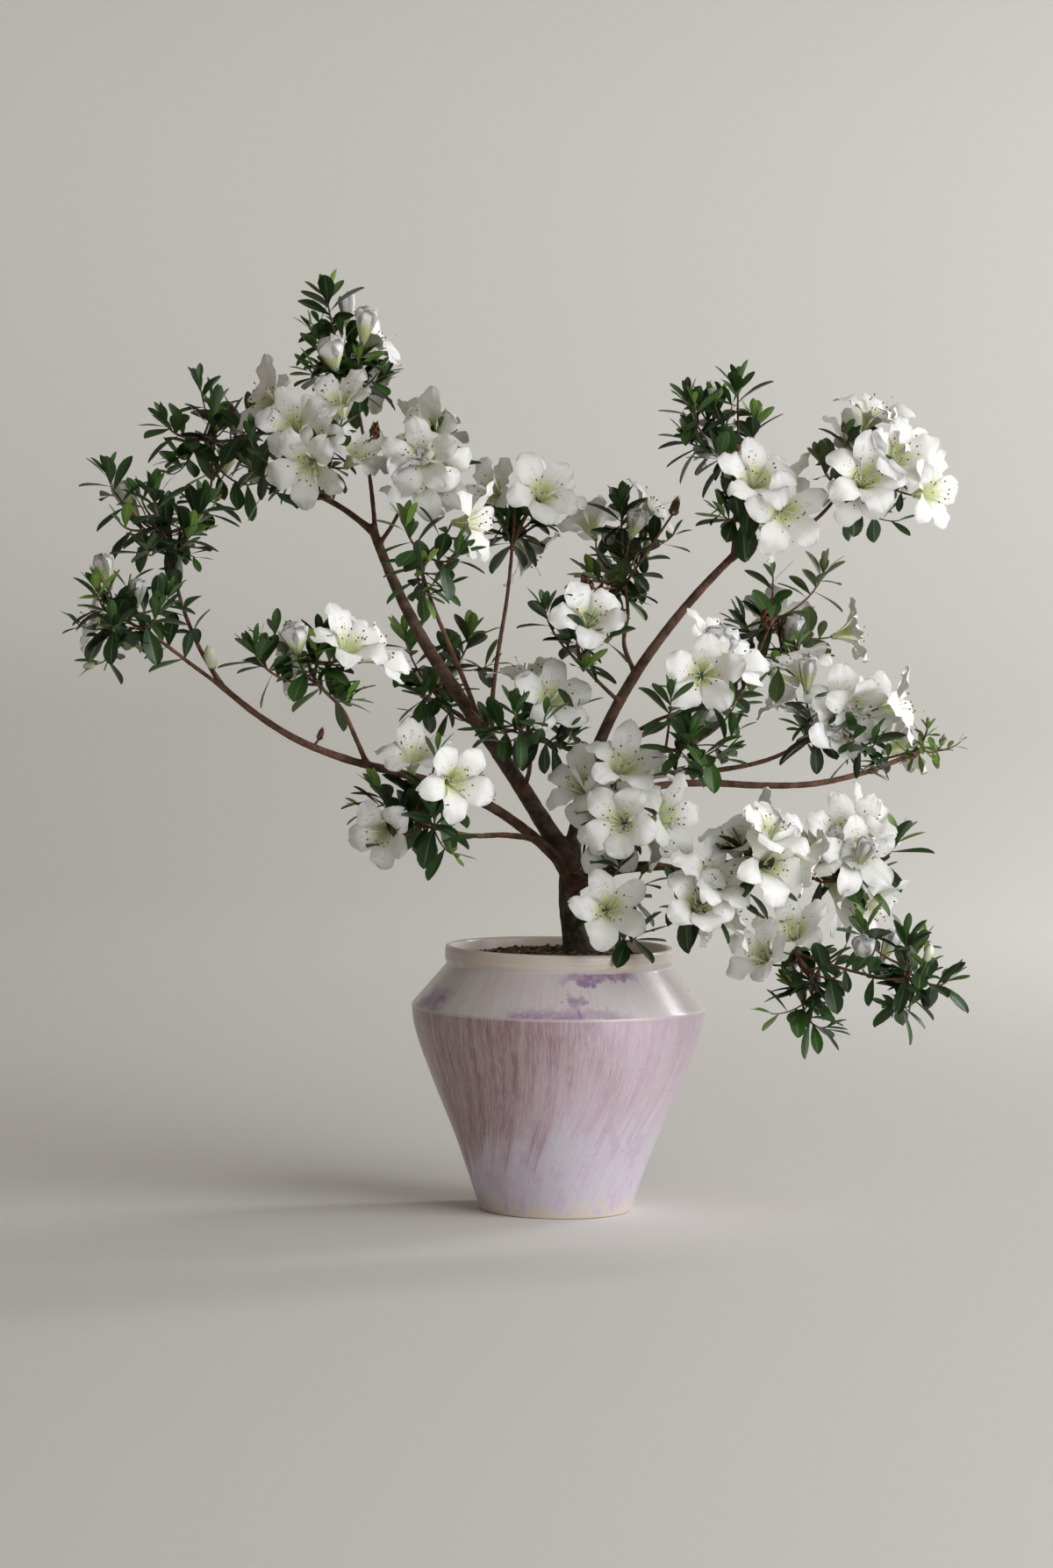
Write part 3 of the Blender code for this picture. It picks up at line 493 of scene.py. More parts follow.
UP = Vector((0.0, 0.0, 1.0))
NO_WAVE = (0.0, 0.0, 0.0)
GROUND = 237.0
TRUNK_FOOT = (18.0, 0.0, GROUND)
TRUNK_FORK = (9.0, 0.0, 318.0)
TRUNK_BOW = (-4.0, 0.0, 0.0)
TRUNK_THICKNESS = (23.0, 19.0)
TRUNK_FLARE = 6.0              # how far the root flare stands out at the cut
TRUNK_FLARE_END = 0.22         # of the trunk's height
TRUNK_STATIONS = 9
TRUNK_SUNK = 6.0               # length that stands in the mix
TRUNK_SUNK_FLARE = 1.5

# The parent, how far up the parent a limb leaves it, the tip, the sideways bow half-way along, the
# S-shaped wave, and the thickness at root and tip.
Limb = namedtuple("Limb", "name parent at tip bow wave thickness")
LIMBS = (
    Limb("left_leader", "trunk", 0.97, (-180, 40, 625), (-7, -4, -5), (4, 3, 2), (17.5, 8.5)),
    Limb("right_leader", "trunk", 0.97, (159, 30, 608), (-28, 5, 14), (-1, 4, 2), (13.5, 7.0)),
    Limb("low_left_limb", "trunk", 0.93, (-310, -110, 482), (-1, -12, 6), (6, 5, 13), (10.5, 5.5)),
    Limb("left_crown", "left_leader", 0.985, (-330, 90, 701), (2, 5, 1), (2, 4, 3), (6.5, 3.6)),
    Limb("top_riser", "left_leader", 0.97, (-195, 60, 735), (2, 6, 0), (0, -3, 0), (5.0, 3.2)),
    Limb("crown_right", "left_leader", 0.95, (-146, 8, 662), (3, -4, -2), (0, 0, 0), (4.6, 3.2)),
    Limb("slender_left", "left_leader", 0.41, (-133, -52, 590), (-2, -10, 3), (1, 3, 0), (5.4, 3.6)),
    Limb("slender_centre", "left_leader", 0.37, (-50, 100, 605), (-3, 14, -1), (-2, 3, 0), (5.2, 3.6)),
    Limb("far_left_riser", "low_left_limb", 0.985, (-356, -74, 600), (-7, -4, -3), (0, 0, 0), (4.8, 3.2)),
    Limb("far_left_low", "low_left_limb", 0.97, (-392, -142, 538), (1, -4, 2), (0, 0, -1), (4.4, 3.2)),
    Limb("left_bough", "low_left_limb", 0.57, (-214, -138, 478), (4, -8, 4), (-1, 0, -1), (5.2, 3.4)),
    Limb("low_left_short", "trunk", 0.90, (-112, -112, 355), (3, -6, 15), (1, 0, 7), (7.5, 3.6)),
    Limb("leader_twig", "left_leader", 0.42, (-112, 66, 462), (-1, 4, -2), (0, 0, 0), (4.4, 3.2)),
    Limb("centre_spray", "left_leader", 0.23, (-32, -34, 432), (4, -4, 0), (0, 0, 0), (5.4, 3.4)),
    Limb("right_riser", "right_leader", 0.985, (157, 12, 664), (-2, -3, 0), (0, 0, 0), (5.0, 3.4)),
    Limb("right_crown", "right_leader", 0.97, (248, -34, 662), (5, -3, -4), (-3, 0, 4), (5.6, 3.4)),
    Limb("top_centre_stem", "right_leader", 0.56, (56, 92, 578), (-4, 8, -1), (-4, 0, 0), (5.0, 3.4)),
    Limb("centre_right_stem", "right_leader", 0.47, (18, -54, 500), (-1, -4, 0), (0, 0, 0), (4.6, 3.2)),
    Limb("right_inner", "right_leader", 0.30, (122, -64, 466), (-3, -6, 4), (1, 0, -1), (5.4, 3.4)),
    Limb("right_back", "right_leader", 0.27, (196, 150, 538), (14, 12, -13), (-6, 0, 5), (6.0, 3.4)),
    Limb("right_low_arm", "right_leader", 0.16, (222, -48, 436), (0, -6, 2), (-3, 0, 7), (7.0, 3.8)),
    Limb("right_cut_arm", "right_leader", 0.11, (330, 112, 419), (-12, 12, 4), (-5, 3, 13), (8.5, 5.0)),
    Limb("inner_right_twig", "right_leader", 0.26, (88, -112, 428), (-4, -6, 11), (0, 0, 0), (5.0, 3.2)),
    Limb("droop_main", "trunk", 0.80, (172, -88, 286), (5, -8, 27), (-2, 0, 1), (9.5, 5.0)),
    Limb("droop_upper", "trunk", 0.72, (150, -138, 332), (0, -8, 8), (0, 0, 4), (7.0, 3.6)),
    Limb("droop_outer", "droop_main", 0.66, (230, -60, 312), (-1, 4, 12), (0, 0, 0), (5.4, 3.4)),
    Limb("droop_tip", "droop_main", 0.98, (213, -106, 244), (2, 0, 2), (0, 0, 0), (4.4, 3.4)),
    Limb("droop_far", "droop_tip", 0.90, (298, -132, 228), (2, 0, -3), (0, 0, 0), (3.6, 3.0)),
)
LIMB_STATION = 58.0            # one ring of a limb for this length
BARK_STEP = 4.0                # from ring to ring of the finished bark
BARK_VOXEL = 1.15
COLLAR = 0.45                  # how much thicker a limb is where it leaves its parent
COLLAR_LENGTH = 3.2            # of the limb's radius there
OLD_RADIUS = 9.0
YOUNG_RADIUS = 2.2
BARK_SIDES = 14
JOINT_SWELLING = 0.09          # of the radius, at the old leaf joints
JOINT_SPACING = 11.0
FURROWS_ROUND = 4.2
FURROWS_ALONG = 55.0
LUMPS_ALONG = 260.0
LUMP_DEPTH = 0.25
FURROW_DEPTHS = (0.15, 1.0)    # on young wood and on old
RELIEF = 0.75
RELIEF_PARTS = (0.35, 1.0)     # of the relief, on young wood and on old
OLD_BARK = (rgb(0.034, 0.024, 0.018), rgb(0.115, 0.085, 0.062))
YOUNG_BARK = (rgb(0.072, 0.030, 0.018), rgb(0.190, 0.088, 0.050))
FISSURE = rgb(0.018, 0.011, 0.008)


def bent_line(start, tip, bow, wave, stations):
    """Points from start to tip, bowed to one side and waved like an S."""
    line = []
    for number in range(stations):
        along = number / (stations - 1)
        lean = Vector(bow) * (4.0 * along * (1.0 - along))
        sway = Vector(wave) * math.sin(2.0 * math.pi * along)
        line.append(start.lerp(tip, along) + lean + sway)
    return line


def point_on(line, along):
    """The point that far along the line, and the heading there."""
    place = along * (len(line) - 1)
    number = min(int(place), len(line) - 2)
    heading = (line[number + 1] - line[number]).normalized()
    return line[number].lerp(line[number + 1], place - number), heading


def blend(pair, along):
    """The value that far from the first to the second."""
    return pair[0] + (pair[1] - pair[0]) * along


def value_on(values, along):
    """The value that far along a list of values."""
    place = along * (len(values) - 1)
    number = min(int(place), len(values) - 2)
    return blend(values[number:number + 2], place - number)


def tapered(radii, stations):
    """Radii that run evenly from the first to the last."""
    return [blend(radii, number / (stations - 1)) for number in range(stations)]


def trunk_shape():
    """The trunk's line and its radii with the root flare."""
    line = bent_line(Vector(TRUNK_FOOT), Vector(TRUNK_FORK), TRUNK_BOW, NO_WAVE, TRUNK_STATIONS)
    radii = []
    for number, thickness in enumerate(tapered(TRUNK_THICKNESS, len(line))):
        along = number / (len(line) - 1)
        radii.append(thickness / 2.0 + TRUNK_FLARE * max(0.0, 1.0 - along / TRUNK_FLARE_END) ** 2)
    return [line[0] - UP * TRUNK_SUNK, *line], [radii[0] + TRUNK_SUNK_FLARE, *radii]


def limb_shape(limb, shapes):
    """A limb's line from the middle of its parent to its tip, and its radii."""
    start = point_on(shapes[limb.parent][0], limb.at)[0]
    tip = Vector(limb.tip)
    stations = max(4, round((tip - start).length / LIMB_STATION) + 2)
    line = bent_line(start, tip, limb.bow, limb.wave, stations)
    return line, [thickness / 2.0 for thickness in tapered(limb.thickness, stations)]


def flowing(line, radii, step):
    """The line drawn smoothly through its points with a point about every step, and the radii there."""
    ends = [line[0] * 2 - line[1], *line, line[-1] * 2 - line[-2]]
    smooth, thick = [], []
    for number, (before, start, end, after) in enumerate(zip(ends, ends[1:], ends[2:], ends[3:])):
        count = max(1, round((end - start).length / step))
        for part in range(count):
            t = part / count
            bend = (before * 2 - start * 5 + end * 4 - after) * (t * t)
            turn = (start * 3 - before - end * 3 + after) * (t * t * t)
            smooth.append((start * 2 + (end - before) * t + bend + turn) * 0.5)
            thick.append(blend(radii[number:number + 2], t))
    return [*smooth, line[-1]], [*thick, radii[-1]]


def rings_round(line):
    """Two sideways axes at each point of the line, carried along it without twisting."""
    frames = []
    side = None
    for number, place in enumerate(line):
        ahead = line[min(number + 1, len(line) - 1)]
        behind = line[max(number - 1, 0)]
        heading = (ahead - behind).normalized()
        side = heading.orthogonal() if side is None else side - heading * side.dot(heading)
        side.normalize()
        frames.append((place, side.copy(), heading.cross(side)))
    return frames


def tube(line, radii, sides):
    """A tapering limb, closed flat at its ends: a ring of points round each place on the line."""
    points = []
    for (place, side, across), radius in zip(rings_round(line), radii):
        for number in range(sides):
            turn = 2.0 * math.pi * number / sides
            points.append(place + (side * math.cos(turn) + across * math.sin(turn)) * radius)
    faces = []
    for ring in range(len(line) - 1):
        for number in range(sides):
            after = (number + 1) % sides
            low, high = ring * sides, (ring + 1) * sides
            faces.append((low + number, low + after, high + after, high + number))
    points.extend((line[0], line[-1]))
    root, tip = len(points) - 2, len(points) - 1
    last = (len(line) - 1) * sides
    for number in range(sides):
        after = (number + 1) % sides
        faces.append((root, after, number))
        faces.append((tip, last + number, last + after))
    return shape_of([tuple(point) for point in points], faces)


def grown_radii(line, radii, collar, seed):
    """The radii with a collar at the root and with the low swellings of old leaf joints."""
    rng = random.Random(seed)
    shift = rng.uniform(0.0, 50.0)
    grown = []
    length = 0.0
    for number, radius in enumerate(radii):
        if number:
            length += (line[number] - line[number - 1]).length
        swelling = 1.0 + JOINT_SWELLING * noise.noise(Vector((length / JOINT_SPACING + shift, 0.0, 0.0)))
        swelling += collar * math.exp(-((length / (radii[0] * COLLAR_LENGTH)) ** 2))
        grown.append(radius * swelling)
    return grown


def grey_to_reddish_bark():
    """Bark whose colour follows how old the wood is."""
    finish, shader = surface("bark", Roughness=0.8)
    tree = finish.node_tree
    age = node(tree, "Attribute", output=2, attribute_name="age")
    place = node(tree, "TexCoord", output=3)
    patches = noisy(tree, place, 90.0, 4.0, 0.6)
    fissures = noisy(tree, drawn_out(tree, place, (1.0, 1.0, 0.22)), 420.0, 3.0, 0.7)
    old = mixed(tree, stepped(tree, patches, 0.36, 0.66), *OLD_BARK)
    young = mixed(tree, stepped(tree, patches, 0.34, 0.68), *YOUNG_BARK)
    in_fissure = maths(tree, "MULTIPLY", stepped(tree, fissures, 0.52, 0.66), 0.45)
    colour = mixed(tree, in_fissure, mixed(tree, age, young, old), FISSURE)
    tree.links.new(colour, shader.inputs["Base Color"])
    in_relief(tree, shader, fissures, 0.7, 0.0009)
    return finish


def wood():
    """Every limb as a tube, run together into one skin and given the relief of its bark."""
    shapes = {"trunk": trunk_shape()}
    for limb in LIMBS:
        shapes[limb.name] = limb_shape(limb, shapes)
    heap = Heap()
    stations = []
    for number, (name, (line, radii)) in enumerate(shapes.items()):
        collar = 0.0 if name == "trunk" else COLLAR
        line, radii = flowing(line, radii, BARK_STEP)
        radii = grown_radii(line, radii, collar, number)
        heap.add(tube(line, radii, BARK_SIDES))
        stations.extend(zip(line, radii))
    piece = heap.build("trunk_and_limbs", [grey_to_reddish_bark()])
    bpy.context.view_layer.objects.active = piece
    for kind, settings in (
        ("REMESH", {"mode": "VOXEL", "voxel_size": BARK_VOXEL * MM, "use_smooth_shade": True}),
        ("SMOOTH", {"factor": 0.5, "iterations": 3}),
    ):
        step = piece.modifiers.new(kind.lower(), kind)
        for key, value in settings.items():
            setattr(step, key, value)
        bpy.ops.object.modifier_apply(modifier=step.name)
    give_relief(piece, stations)
    return piece, shapes


def give_relief(piece, stations):
    """Ridges and furrows along the old wood, fine lumps on the young; and the wood's age as an attribute."""
    tree = KDTree(len(stations))
    for number, (place, _) in enumerate(stations):
        tree.insert(place * MM, number)
    tree.balance()
    mesh = piece.data
    places = np.empty(len(mesh.vertices) * 3)
    normals = np.empty(len(places))
    mesh.vertices.foreach_get("co", places)
    mesh.vertex_normals.foreach_get("vector", normals)
    ages, raised = [], []
    for place in places.reshape(-1, 3):
        place = Vector(place)
        near, number, _ = tree.find(place)
        turn = math.atan2(place.y - near.y, place.x - near.x)
        age = (stations[number][1] - YOUNG_RADIUS) / (OLD_RADIUS - YOUNG_RADIUS)
        age = min(1.0, max(0.0, age))
        furrow_at = (math.cos(turn) * FURROWS_ROUND, math.sin(turn) * FURROWS_ROUND, place.z * FURROWS_ALONG)
        height = noise.noise(Vector(furrow_at)) * blend(FURROW_DEPTHS, age)
        height += noise.noise(place * LUMPS_ALONG) * LUMP_DEPTH
        ages.append(age)
        raised.append(height * MM * RELIEF * blend(RELIEF_PARTS, age))
    mesh.vertices.foreach_set("co", places + normals * np.repeat(raised, 3))
    mesh.attributes.new("age", "FLOAT", "POINT").data.foreach_set("value", ages)
    mesh.update()


limbs, limb_shapes = wood()
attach(limbs, "root")
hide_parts("trunk", *(limb.name for limb in LIMBS))

# ---- The twigs -------------------------------------------------------------------------------------
# The thin wood of the last two years in each mass of foliage.  A stem leaves the limb, shoots leave the
# stem, and each bends up to the light and ends in a flower or in leaves.  The older twigs are reddish, and
# the last stretch of a shoot is still green.

# The limb a mass grows from, the middle and half-size of its space, its flowers and leafy sprays, its
# finer leafy shoots, later flowers and half-open ones, how many of its first flowers are half-open too,
# the part of its tips that are fresh green, the seed that deals them out, and how far up the limb it is.
Clump = namedtuple(
    "Clump", "name limb middle half blooms sprays finer later half_open closed fresh seed at", defaults=(1.0,)
)
CLUMPS = [Clump(*row) for row in (
    ("left_crown_leaves", "left_crown", (-340, 85, 700), (95, 75, 75), 1, 7, 2, 0, 0, 1, 0.2, 22115),
    ("left_crown_blossom", "left_crown", (-235, -10, 695), (70, 70, 70), 5, 2, 1, 2, 1, 0, 0.2, 52339, 0.30),
    ("top_left_leaves", "top_riser", (-210, 60, 785), (55, 60, 65), 4, 5, 5, 0, 1, 2, 0.3, 14022),
    ("left_centre_blossom", "crown_right", (-130, -5, 690), (45, 60, 65), 5, 2, 0, 1, 0, 0, 0.2, 18202),
    ("slender_left_blossom", "slender_left", (-125, -70, 605), (60, 55, 55), 1, 3, 1, 0, 0, 0, 0.2, 922),
    ("slender_centre_blossom", "slender_centre", (-50, 110, 650), (70, 65, 65), 4, 2, 0, 1, 0, 0, 0.2, 14738),
    ("far_left_leaves", "far_left_riser", (-370, -70, 630), (65, 60, 55), 1, 6, 2, 0, 0, 1, 0.2, 15457),
    ("far_left_blossom", "far_left_low", (-390, -150, 545), (55, 60, 50), 2, 5, 1, 0, 1, 1, 0.4, 45395),
    ("left_blossom", "left_bough", (-225, -150, 510), (70, 60, 50), 3, 3, 1, 0, 1, 0, 0.2, 5371),
    ("low_left_leaves", "low_left_short", (-130, -130, 380), (65, 55, 65), 3, 4, 2, 0, 0, 0, 0.9, 12425),
    ("left_inner_leaves", "leader_twig", (-115, 80, 490), (50, 60, 55), 1, 4, 1, 0, 1, 1, 0.5, 22809),
    ("centre_blossom", "centre_spray", (-20, -55, 460), (55, 50, 55), 2, 3, 2, 0, 0, 0, 0.2, 17622),
    ("right_top_leaves", "right_riser", (140, 25, 725), (50, 60, 65), 1, 7, 2, 0, 0, 0, 0.4, 40693),
    ("right_shoulder_blossom", "right_riser", (175, -35, 665), (55, 50, 50),
     4, 1, 0, 2, 0, 0, 0.2, 48425, 0.55),
    ("right_crown_blossom", "right_crown", (280, -60, 690), (70, 70, 65), 4, 3, 1, 4, 0, 0, 0.3, 11855),
    ("top_centre_leaves", "top_centre_stem", (55, 110, 610), (60, 60, 70), 3, 5, 1, 0, 1, 1, 0.4, 18471),
    ("centre_right_leaves", "centre_right_stem", (15, -75, 530), (45, 50, 40), 1, 3, 1, 0, 0, 0, 0.4, 799),
    ("right_inner_blossom", "right_inner", (135, -85, 500), (55, 60, 55), 2, 2, 1, 1, 1, 0, 0.2, 21182),
    ("right_back_leaves", "right_back", (220, 170, 530), (85, 75, 80), 4, 5, 2, 0, 0, 1, 0.4, 22631),
    ("right_blossom", "right_low_arm", (265, -60, 465), (70, 70, 65), 5, 3, 0, 2, 1, 0, 0.3, 13928),
    ("right_cut_leaves", "right_cut_arm", (335, 125, 435), (45, 50, 35), 1, 3, 0, 0, 0, 0, 1.0, 13095),
    ("inner_right_leaves", "inner_right_twig", (120, -145, 445), (55, 50, 45), 0, 4, 1, 0, 1, 0, 0.3, 13184),
    ("droop_blossom", "droop_main", (125, -150, 295), (55, 45, 50), 3, 1, 1, 1, 0, 0, 0.3, 42874, 0.62),
    ("droop_upper_blossom", "droop_upper", (175, -165, 335), (45, 50, 45), 3, 1, 1, 2, 0, 0, 0.3, 23700),
    ("droop_outer_blossom", "droop_outer", (265, -60, 335), (50, 60, 55), 5, 2, 1, 3, 1, 0, 0.8, 1217),
    ("droop_tip_leaves", "droop_tip", (225, -110, 220), (50, 55, 70), 2, 4, 1, 0, 0, 0, 0.4, 15790),
    ("droop_far_leaves", "droop_far", (305, -135, 245), (60, 55, 55), 1, 5, 2, 0, 1, 1, 0.5, 6073),
    ("front_blossom", "trunk", (60, -110, 380), (60, 55, 55), 6, 1, 0, 2, 0, 0, 0.3, 40296, 0.93),
    ("hanging_bloom", "trunk", (60, -105, 280), (45, 45, 45), 1, 2, 1, 0, 0, 0, 0.1, 21804, 0.55),
)]
SPOT_TRIES = 4                 # spots drawn for each shoot: the one farthest from the rest is kept
SHOOT_REACH = (0.30, 0.95)     # of the space, from its middle
SPACE_MARGIN = 34.0            # a leaf may stand this far out of the reach of its shoots
LIGHT = (0.30, -0.85, 0.43)    # where the light comes from
FACING = (0.75, 0.35, 0.75)    # a flower's turn out of its clump, out of the shrub and to the light
CLEAR = 0.3                    # between the limb's skin and the foot of the stem
STEM_RADII = (2.2, 1.6)
STEM_FOOT = 4.0                # straight out of the limb before it bends
STEM_STEP = 6.0                # from ring to ring
STEM_LEAST = 18.0
STEM_REACH = 0.85              # of the way to the middle of the space
SHOOTS_FROM = (0.25, 0.95)     # where on the stem the shoots leave it
SHOOT_RADII = (1.4, 0.95)
SIDE_RADII = (0.9, 0.6)
SIDE_SHOOT_CHANCE = 0.45
TWIG_BEND = 0.45               # how much of a twig already lies in its last heading
RISE = 0.45                    # how far a leafy shoot turns up
TIP_RISE = 0.75                # and how much farther its last leaves do
BLOOM_DEPTH = 30.0
BLOOM_SIZES = (0.92, 1.06)
BLOOM_SET_BACK = 0.8           # from the end of the shoot to the neck, as a part of the depth
TWIG_IN_NECK = 2.0
SIDE_SHOOT_LENGTHS = (20.0, 42.0)
SIDE_SHOOTS_FROM = (0.25, 0.72)
SIDE_SHOOT_MARGIN = 12.0
SHOOT_POINTS = 9
GREEN_POINTS = 3               # of them, in the green last stretch
Bloom = namedtuple("Bloom", "neck heading turn size rng")

# The leaves of one shoot.  Their sort is "strong" or "fine", as the shoot is, or "collar" under a flower.
Spray = namedtuple("Spray", "clump line heading rng sort")


def random_spot(rng):
    """A random spot in the outer part of a ball of radius 1."""
    turn = rng.uniform(0.0, 2.0 * math.pi)
    height = rng.uniform(-1.0, 1.0)
    reach = rng.uniform(*SHOOT_REACH)
    flat = math.sqrt(1.0 - height * height)
    return (reach * flat * math.cos(turn), reach * flat * math.sin(turn), reach * height)


def shoot_spots(count, seed):
    """Where the shoots of a space end: each is the loneliest of a few random spots."""
    rng = random.Random(seed)
    spots = []
    for _ in range(count):
        tries = [random_spot(rng) for _ in range(SPOT_TRIES)]
        room = [min((math.dist(spot, other) for other in spots), default=0.0) for spot in tries]
        spots.append(tries[room.index(max(room))])
    return spots


def in_space(clump, place, margin=SPACE_MARGIN):
    """True where the place belongs to the clump: in its reach and nearer to it than to any other."""
    def distance(other):
        steps = [(place[i] - other.middle[i]) / (other.half[i] + margin) for i in range(3)]
        return math.hypot(*steps)
    own = distance(clump)
    return own <= 1.0 and all(own <= distance(other) for other in CLUMPS if other is not clump)


def facing_of(clump, spot):
    """The way a flower looks: out of its clump, out of the shrub and to the light."""
    out_of_clump = Vector(spot).normalized()
    out_of_shrub = Vector((clump.middle[0], clump.middle[1], 0.0)).normalized()
    return (out_of_clump * FACING[0] + out_of_shrub * FACING[1] + Vector(LIGHT) * FACING[2]).normalized()


def curved_line(start, control, end, stations):
    """Points on the curve that leaves the start towards the control and reaches the end from it."""
    line = []
    for number in range(stations):
        along = number / (stations - 1)
        line.append(start.lerp(control, along).lerp(control.lerp(end, along), along))
    return line


def stem_line(clump, line, radii):
    """The stem's points, from the limb to near the middle of the space."""
    middle = Vector(clump.middle)
    place, heading = point_on(line, clump.at)
    offset = CLEAR
    if clump.at < 1.0:
        toward = middle - place
        offset += value_on(radii, clump.at)
        heading = (toward - heading * toward.dot(heading)).normalized()
    place = place + heading * offset
    reach = max(STEM_LEAST, (middle - place).length * STEM_REACH)
    foot = place + heading * STEM_FOOT
    end = foot + (heading * 0.5 + (middle - foot).normalized()).normalized() * reach
    return [place, *curved_line(foot, foot + heading * reach * TWIG_BEND, end, 3)]


class Twigs:
    """Grows every shoot and side shoot, and notes where the flowers and the leaves go."""

    def __init__(self):
        self.wood = Heap()
        self.blooms = []
        self.half_open = []
        self.sprays = []

    def draw(self, line, radii, sides=6, kind=0):
        """A twig through the points."""
        self.wood.add(tube(line, tapered(radii, len(line)), sides), kind=kind)

    def shoot(self, base, end, heading, radii):
        """A shoot that bends into its last heading; gives its points."""
        control = end - heading * (end - base).length * TWIG_BEND
        line = curved_line(base, control, end, SHOOT_POINTS)
        self.draw(line[:1 - GREEN_POINTS], radii)
        self.draw(line[-GREEN_POINTS:], (radii[1], radii[1] * 0.85), kind=1)
        return line

    def side_shoot(self, clump, line, rng):
        """A short shoot off a longer one, with leaves of its own."""
        base, heading = point_on(line, rng.uniform(*SIDE_SHOOTS_FROM))
        aside = heading.orthogonal()
        aside.rotate(Matrix.Rotation(rng.uniform(0.0, 2.0 * math.pi), 3, heading))
        way = (heading * 0.8 + aside + UP * 0.35).normalized()
        end = base + way * rng.uniform(*SIDE_SHOOT_LENGTHS)
        if in_space(clump, end, SIDE_SHOOT_MARGIN):
            last = (way + UP * 0.5).normalized()
            line = self.shoot(base, end, last, SIDE_RADII)
            self.sprays.append(Spray(clump, line, last, rng, "fine"))

    def grow(self, clump, shape):
        """The stem, the shoots of the mass by its seeded rule, and their finer shoots."""
        stem = stem_line(clump, *shape)
        root = point_on(shape[0], clump.at)[0]
        joined = [root, *stem]
        self.draw(flowing(joined, tapered(STEM_RADII, len(joined)), STEM_STEP)[0], STEM_RADII, sides=8)
        leafy = clump.blooms + clump.sprays
        later = leafy + clump.finer
        opened = later + clump.later
        spots = shoot_spots(opened + clump.half_open, clump.seed)
        for number, spot in enumerate(spots):
            rng = random.Random(clump.seed * 100 + number)
            head = Vector([clump.middle[i] + spot[i] * clump.half[i] for i in range(3)])
            base = point_on(stem, rng.uniform(*SHOOTS_FROM))[0]
            shut = number < clump.closed or number >= opened
            if number < clump.blooms or number >= later:
                heading = facing_of(clump, spot)
                neck = head - heading * BLOOM_DEPTH * BLOOM_SET_BACK
                turn = rng.uniform(0.0, 2.0 * math.pi)
                size = rng.uniform(*BLOOM_SIZES)
                if shut:
                    heading = (heading + UP).normalized()
                line = self.shoot(base, neck + heading * TWIG_IN_NECK, heading, SHOOT_RADII)
                (self.half_open if shut else self.blooms).append(Bloom(neck, heading, turn, size, rng))
                self.sprays.append(Spray(clump, line, heading, rng, "collar"))
            else:
                heading = ((head - base).normalized() + UP * RISE).normalized()
                heading = (heading + UP * TIP_RISE).normalized()
                line = self.shoot(base, head, heading, SHOOT_RADII)
                self.sprays.append(Spray(clump, line, heading, rng, "strong" if number < leafy else "fine"))
                if rng.random() < SIDE_SHOOT_CHANCE:
                    self.side_shoot(clump, line, rng)


twigs = Twigs()
for clump in CLUMPS:
    twigs.grow(clump, limb_shapes[clump.limb])
twig_wood = twigs.wood.build("twigs", [
    mottled("reddish_twig", rgb(0.085, 0.036, 0.022), rgb(0.20, 0.098, 0.056), 260.0, 0.0006, 0.7),
    mottled("green_shoot", rgb(0.10, 0.125, 0.040), rgb(0.19, 0.17, 0.070), 260.0, 0.0004, 0.55),
])
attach(twig_wood, "root")

# ---- The leaves ------------------------------------------------------------------------------------
# Small, leathery, half-glossy leaves, widest past the middle, with a pale rib.  Each shoot carries a
# rosette: old dark leaves spread or hang below, and young bright ones stand up in the middle.  On the
# slender limbs they sit in loose pairs.

LEAF_LENGTH = 36.0
LEAF_WIDTH = 17.5
LEAF_ROWS = (0.0, 0.10, 0.28, 0.50, 0.68, 0.84, 0.95, 1.0)      # of the length
LEAF_OUTLINE = (0.10, 0.24, 0.62, 0.94, 1.0, 0.80, 0.42, 0.06)  # of the width at each row
LEAF_COLUMNS = (-1.0, -0.5, -0.09, 0.09, 0.5, 1.0)              # of the half-width
LEAF_FOLDS = (0.10, 0.34)      # how steeply the two halves stand up from the rib
LEAF_DROOPS = (2.0, 6.5)       # of the tip
LEAF_SWAY = 1.6                # of the tip, to either side
LEAF_WAVE = 0.35               # of the edges
RIB_HEIGHT = 0.35
LEAF_KINDS = 8
BROAD_WIDTHS = (0.72, 1.0)     # as parts of the width, of the old leaves
YOUNG_WIDTH = 0.72             # and of the young ones
DARK, GREEN, OLIVE, BRIGHT, PALE_RIB, BRIGHT_RIB = range(6)
GOLDEN_ANGLE = math.radians(137.508)
LEAF_COUNTS = {"strong": 12, "fine": 6, "collar": 4}
COLLAR_REACH = (14.0, 26.0)    # down the shoot from under the flower
COLLAR_TILTS = (62.0, 100.0)
ROSETTE_SIZES = (0.60, 1.04)   # of the last leaf and of the lowest
SIZE_STRAY = (0.84, 1.08)
FINE_SIZE = 0.86               # of the leaves on a fine shoot
TILT_STRAY = 11.0
YOUNG_AGE = 0.42               # of 1 for the lowest leaf: below it a leaf is young
NEW_LEAF = 0.5                 # the size of the leaves where every shoot is new
ROSETTE_REACH = 34.0           # how far down the shoot its lowest leaves sit
STRUNG_FROM = 8.0              # from the tip of a limb to its first leaf
STRUNG_PART = 0.7              # of the limb, from its tip
STRUNG_SPACING = 13.0
STRUNG_SIZES = (0.55, 0.95)
PAIRED = 0.8                   # the part of the leaves along a limb that are still there
LEAF_TILTS = (96.0, 20.0)      # degrees from the shoot, of the first leaf and of the last
LEAFY_LIMBS = ("far_left_low", "far_left_riser", "left_crown", "droop_tip", "droop_far")


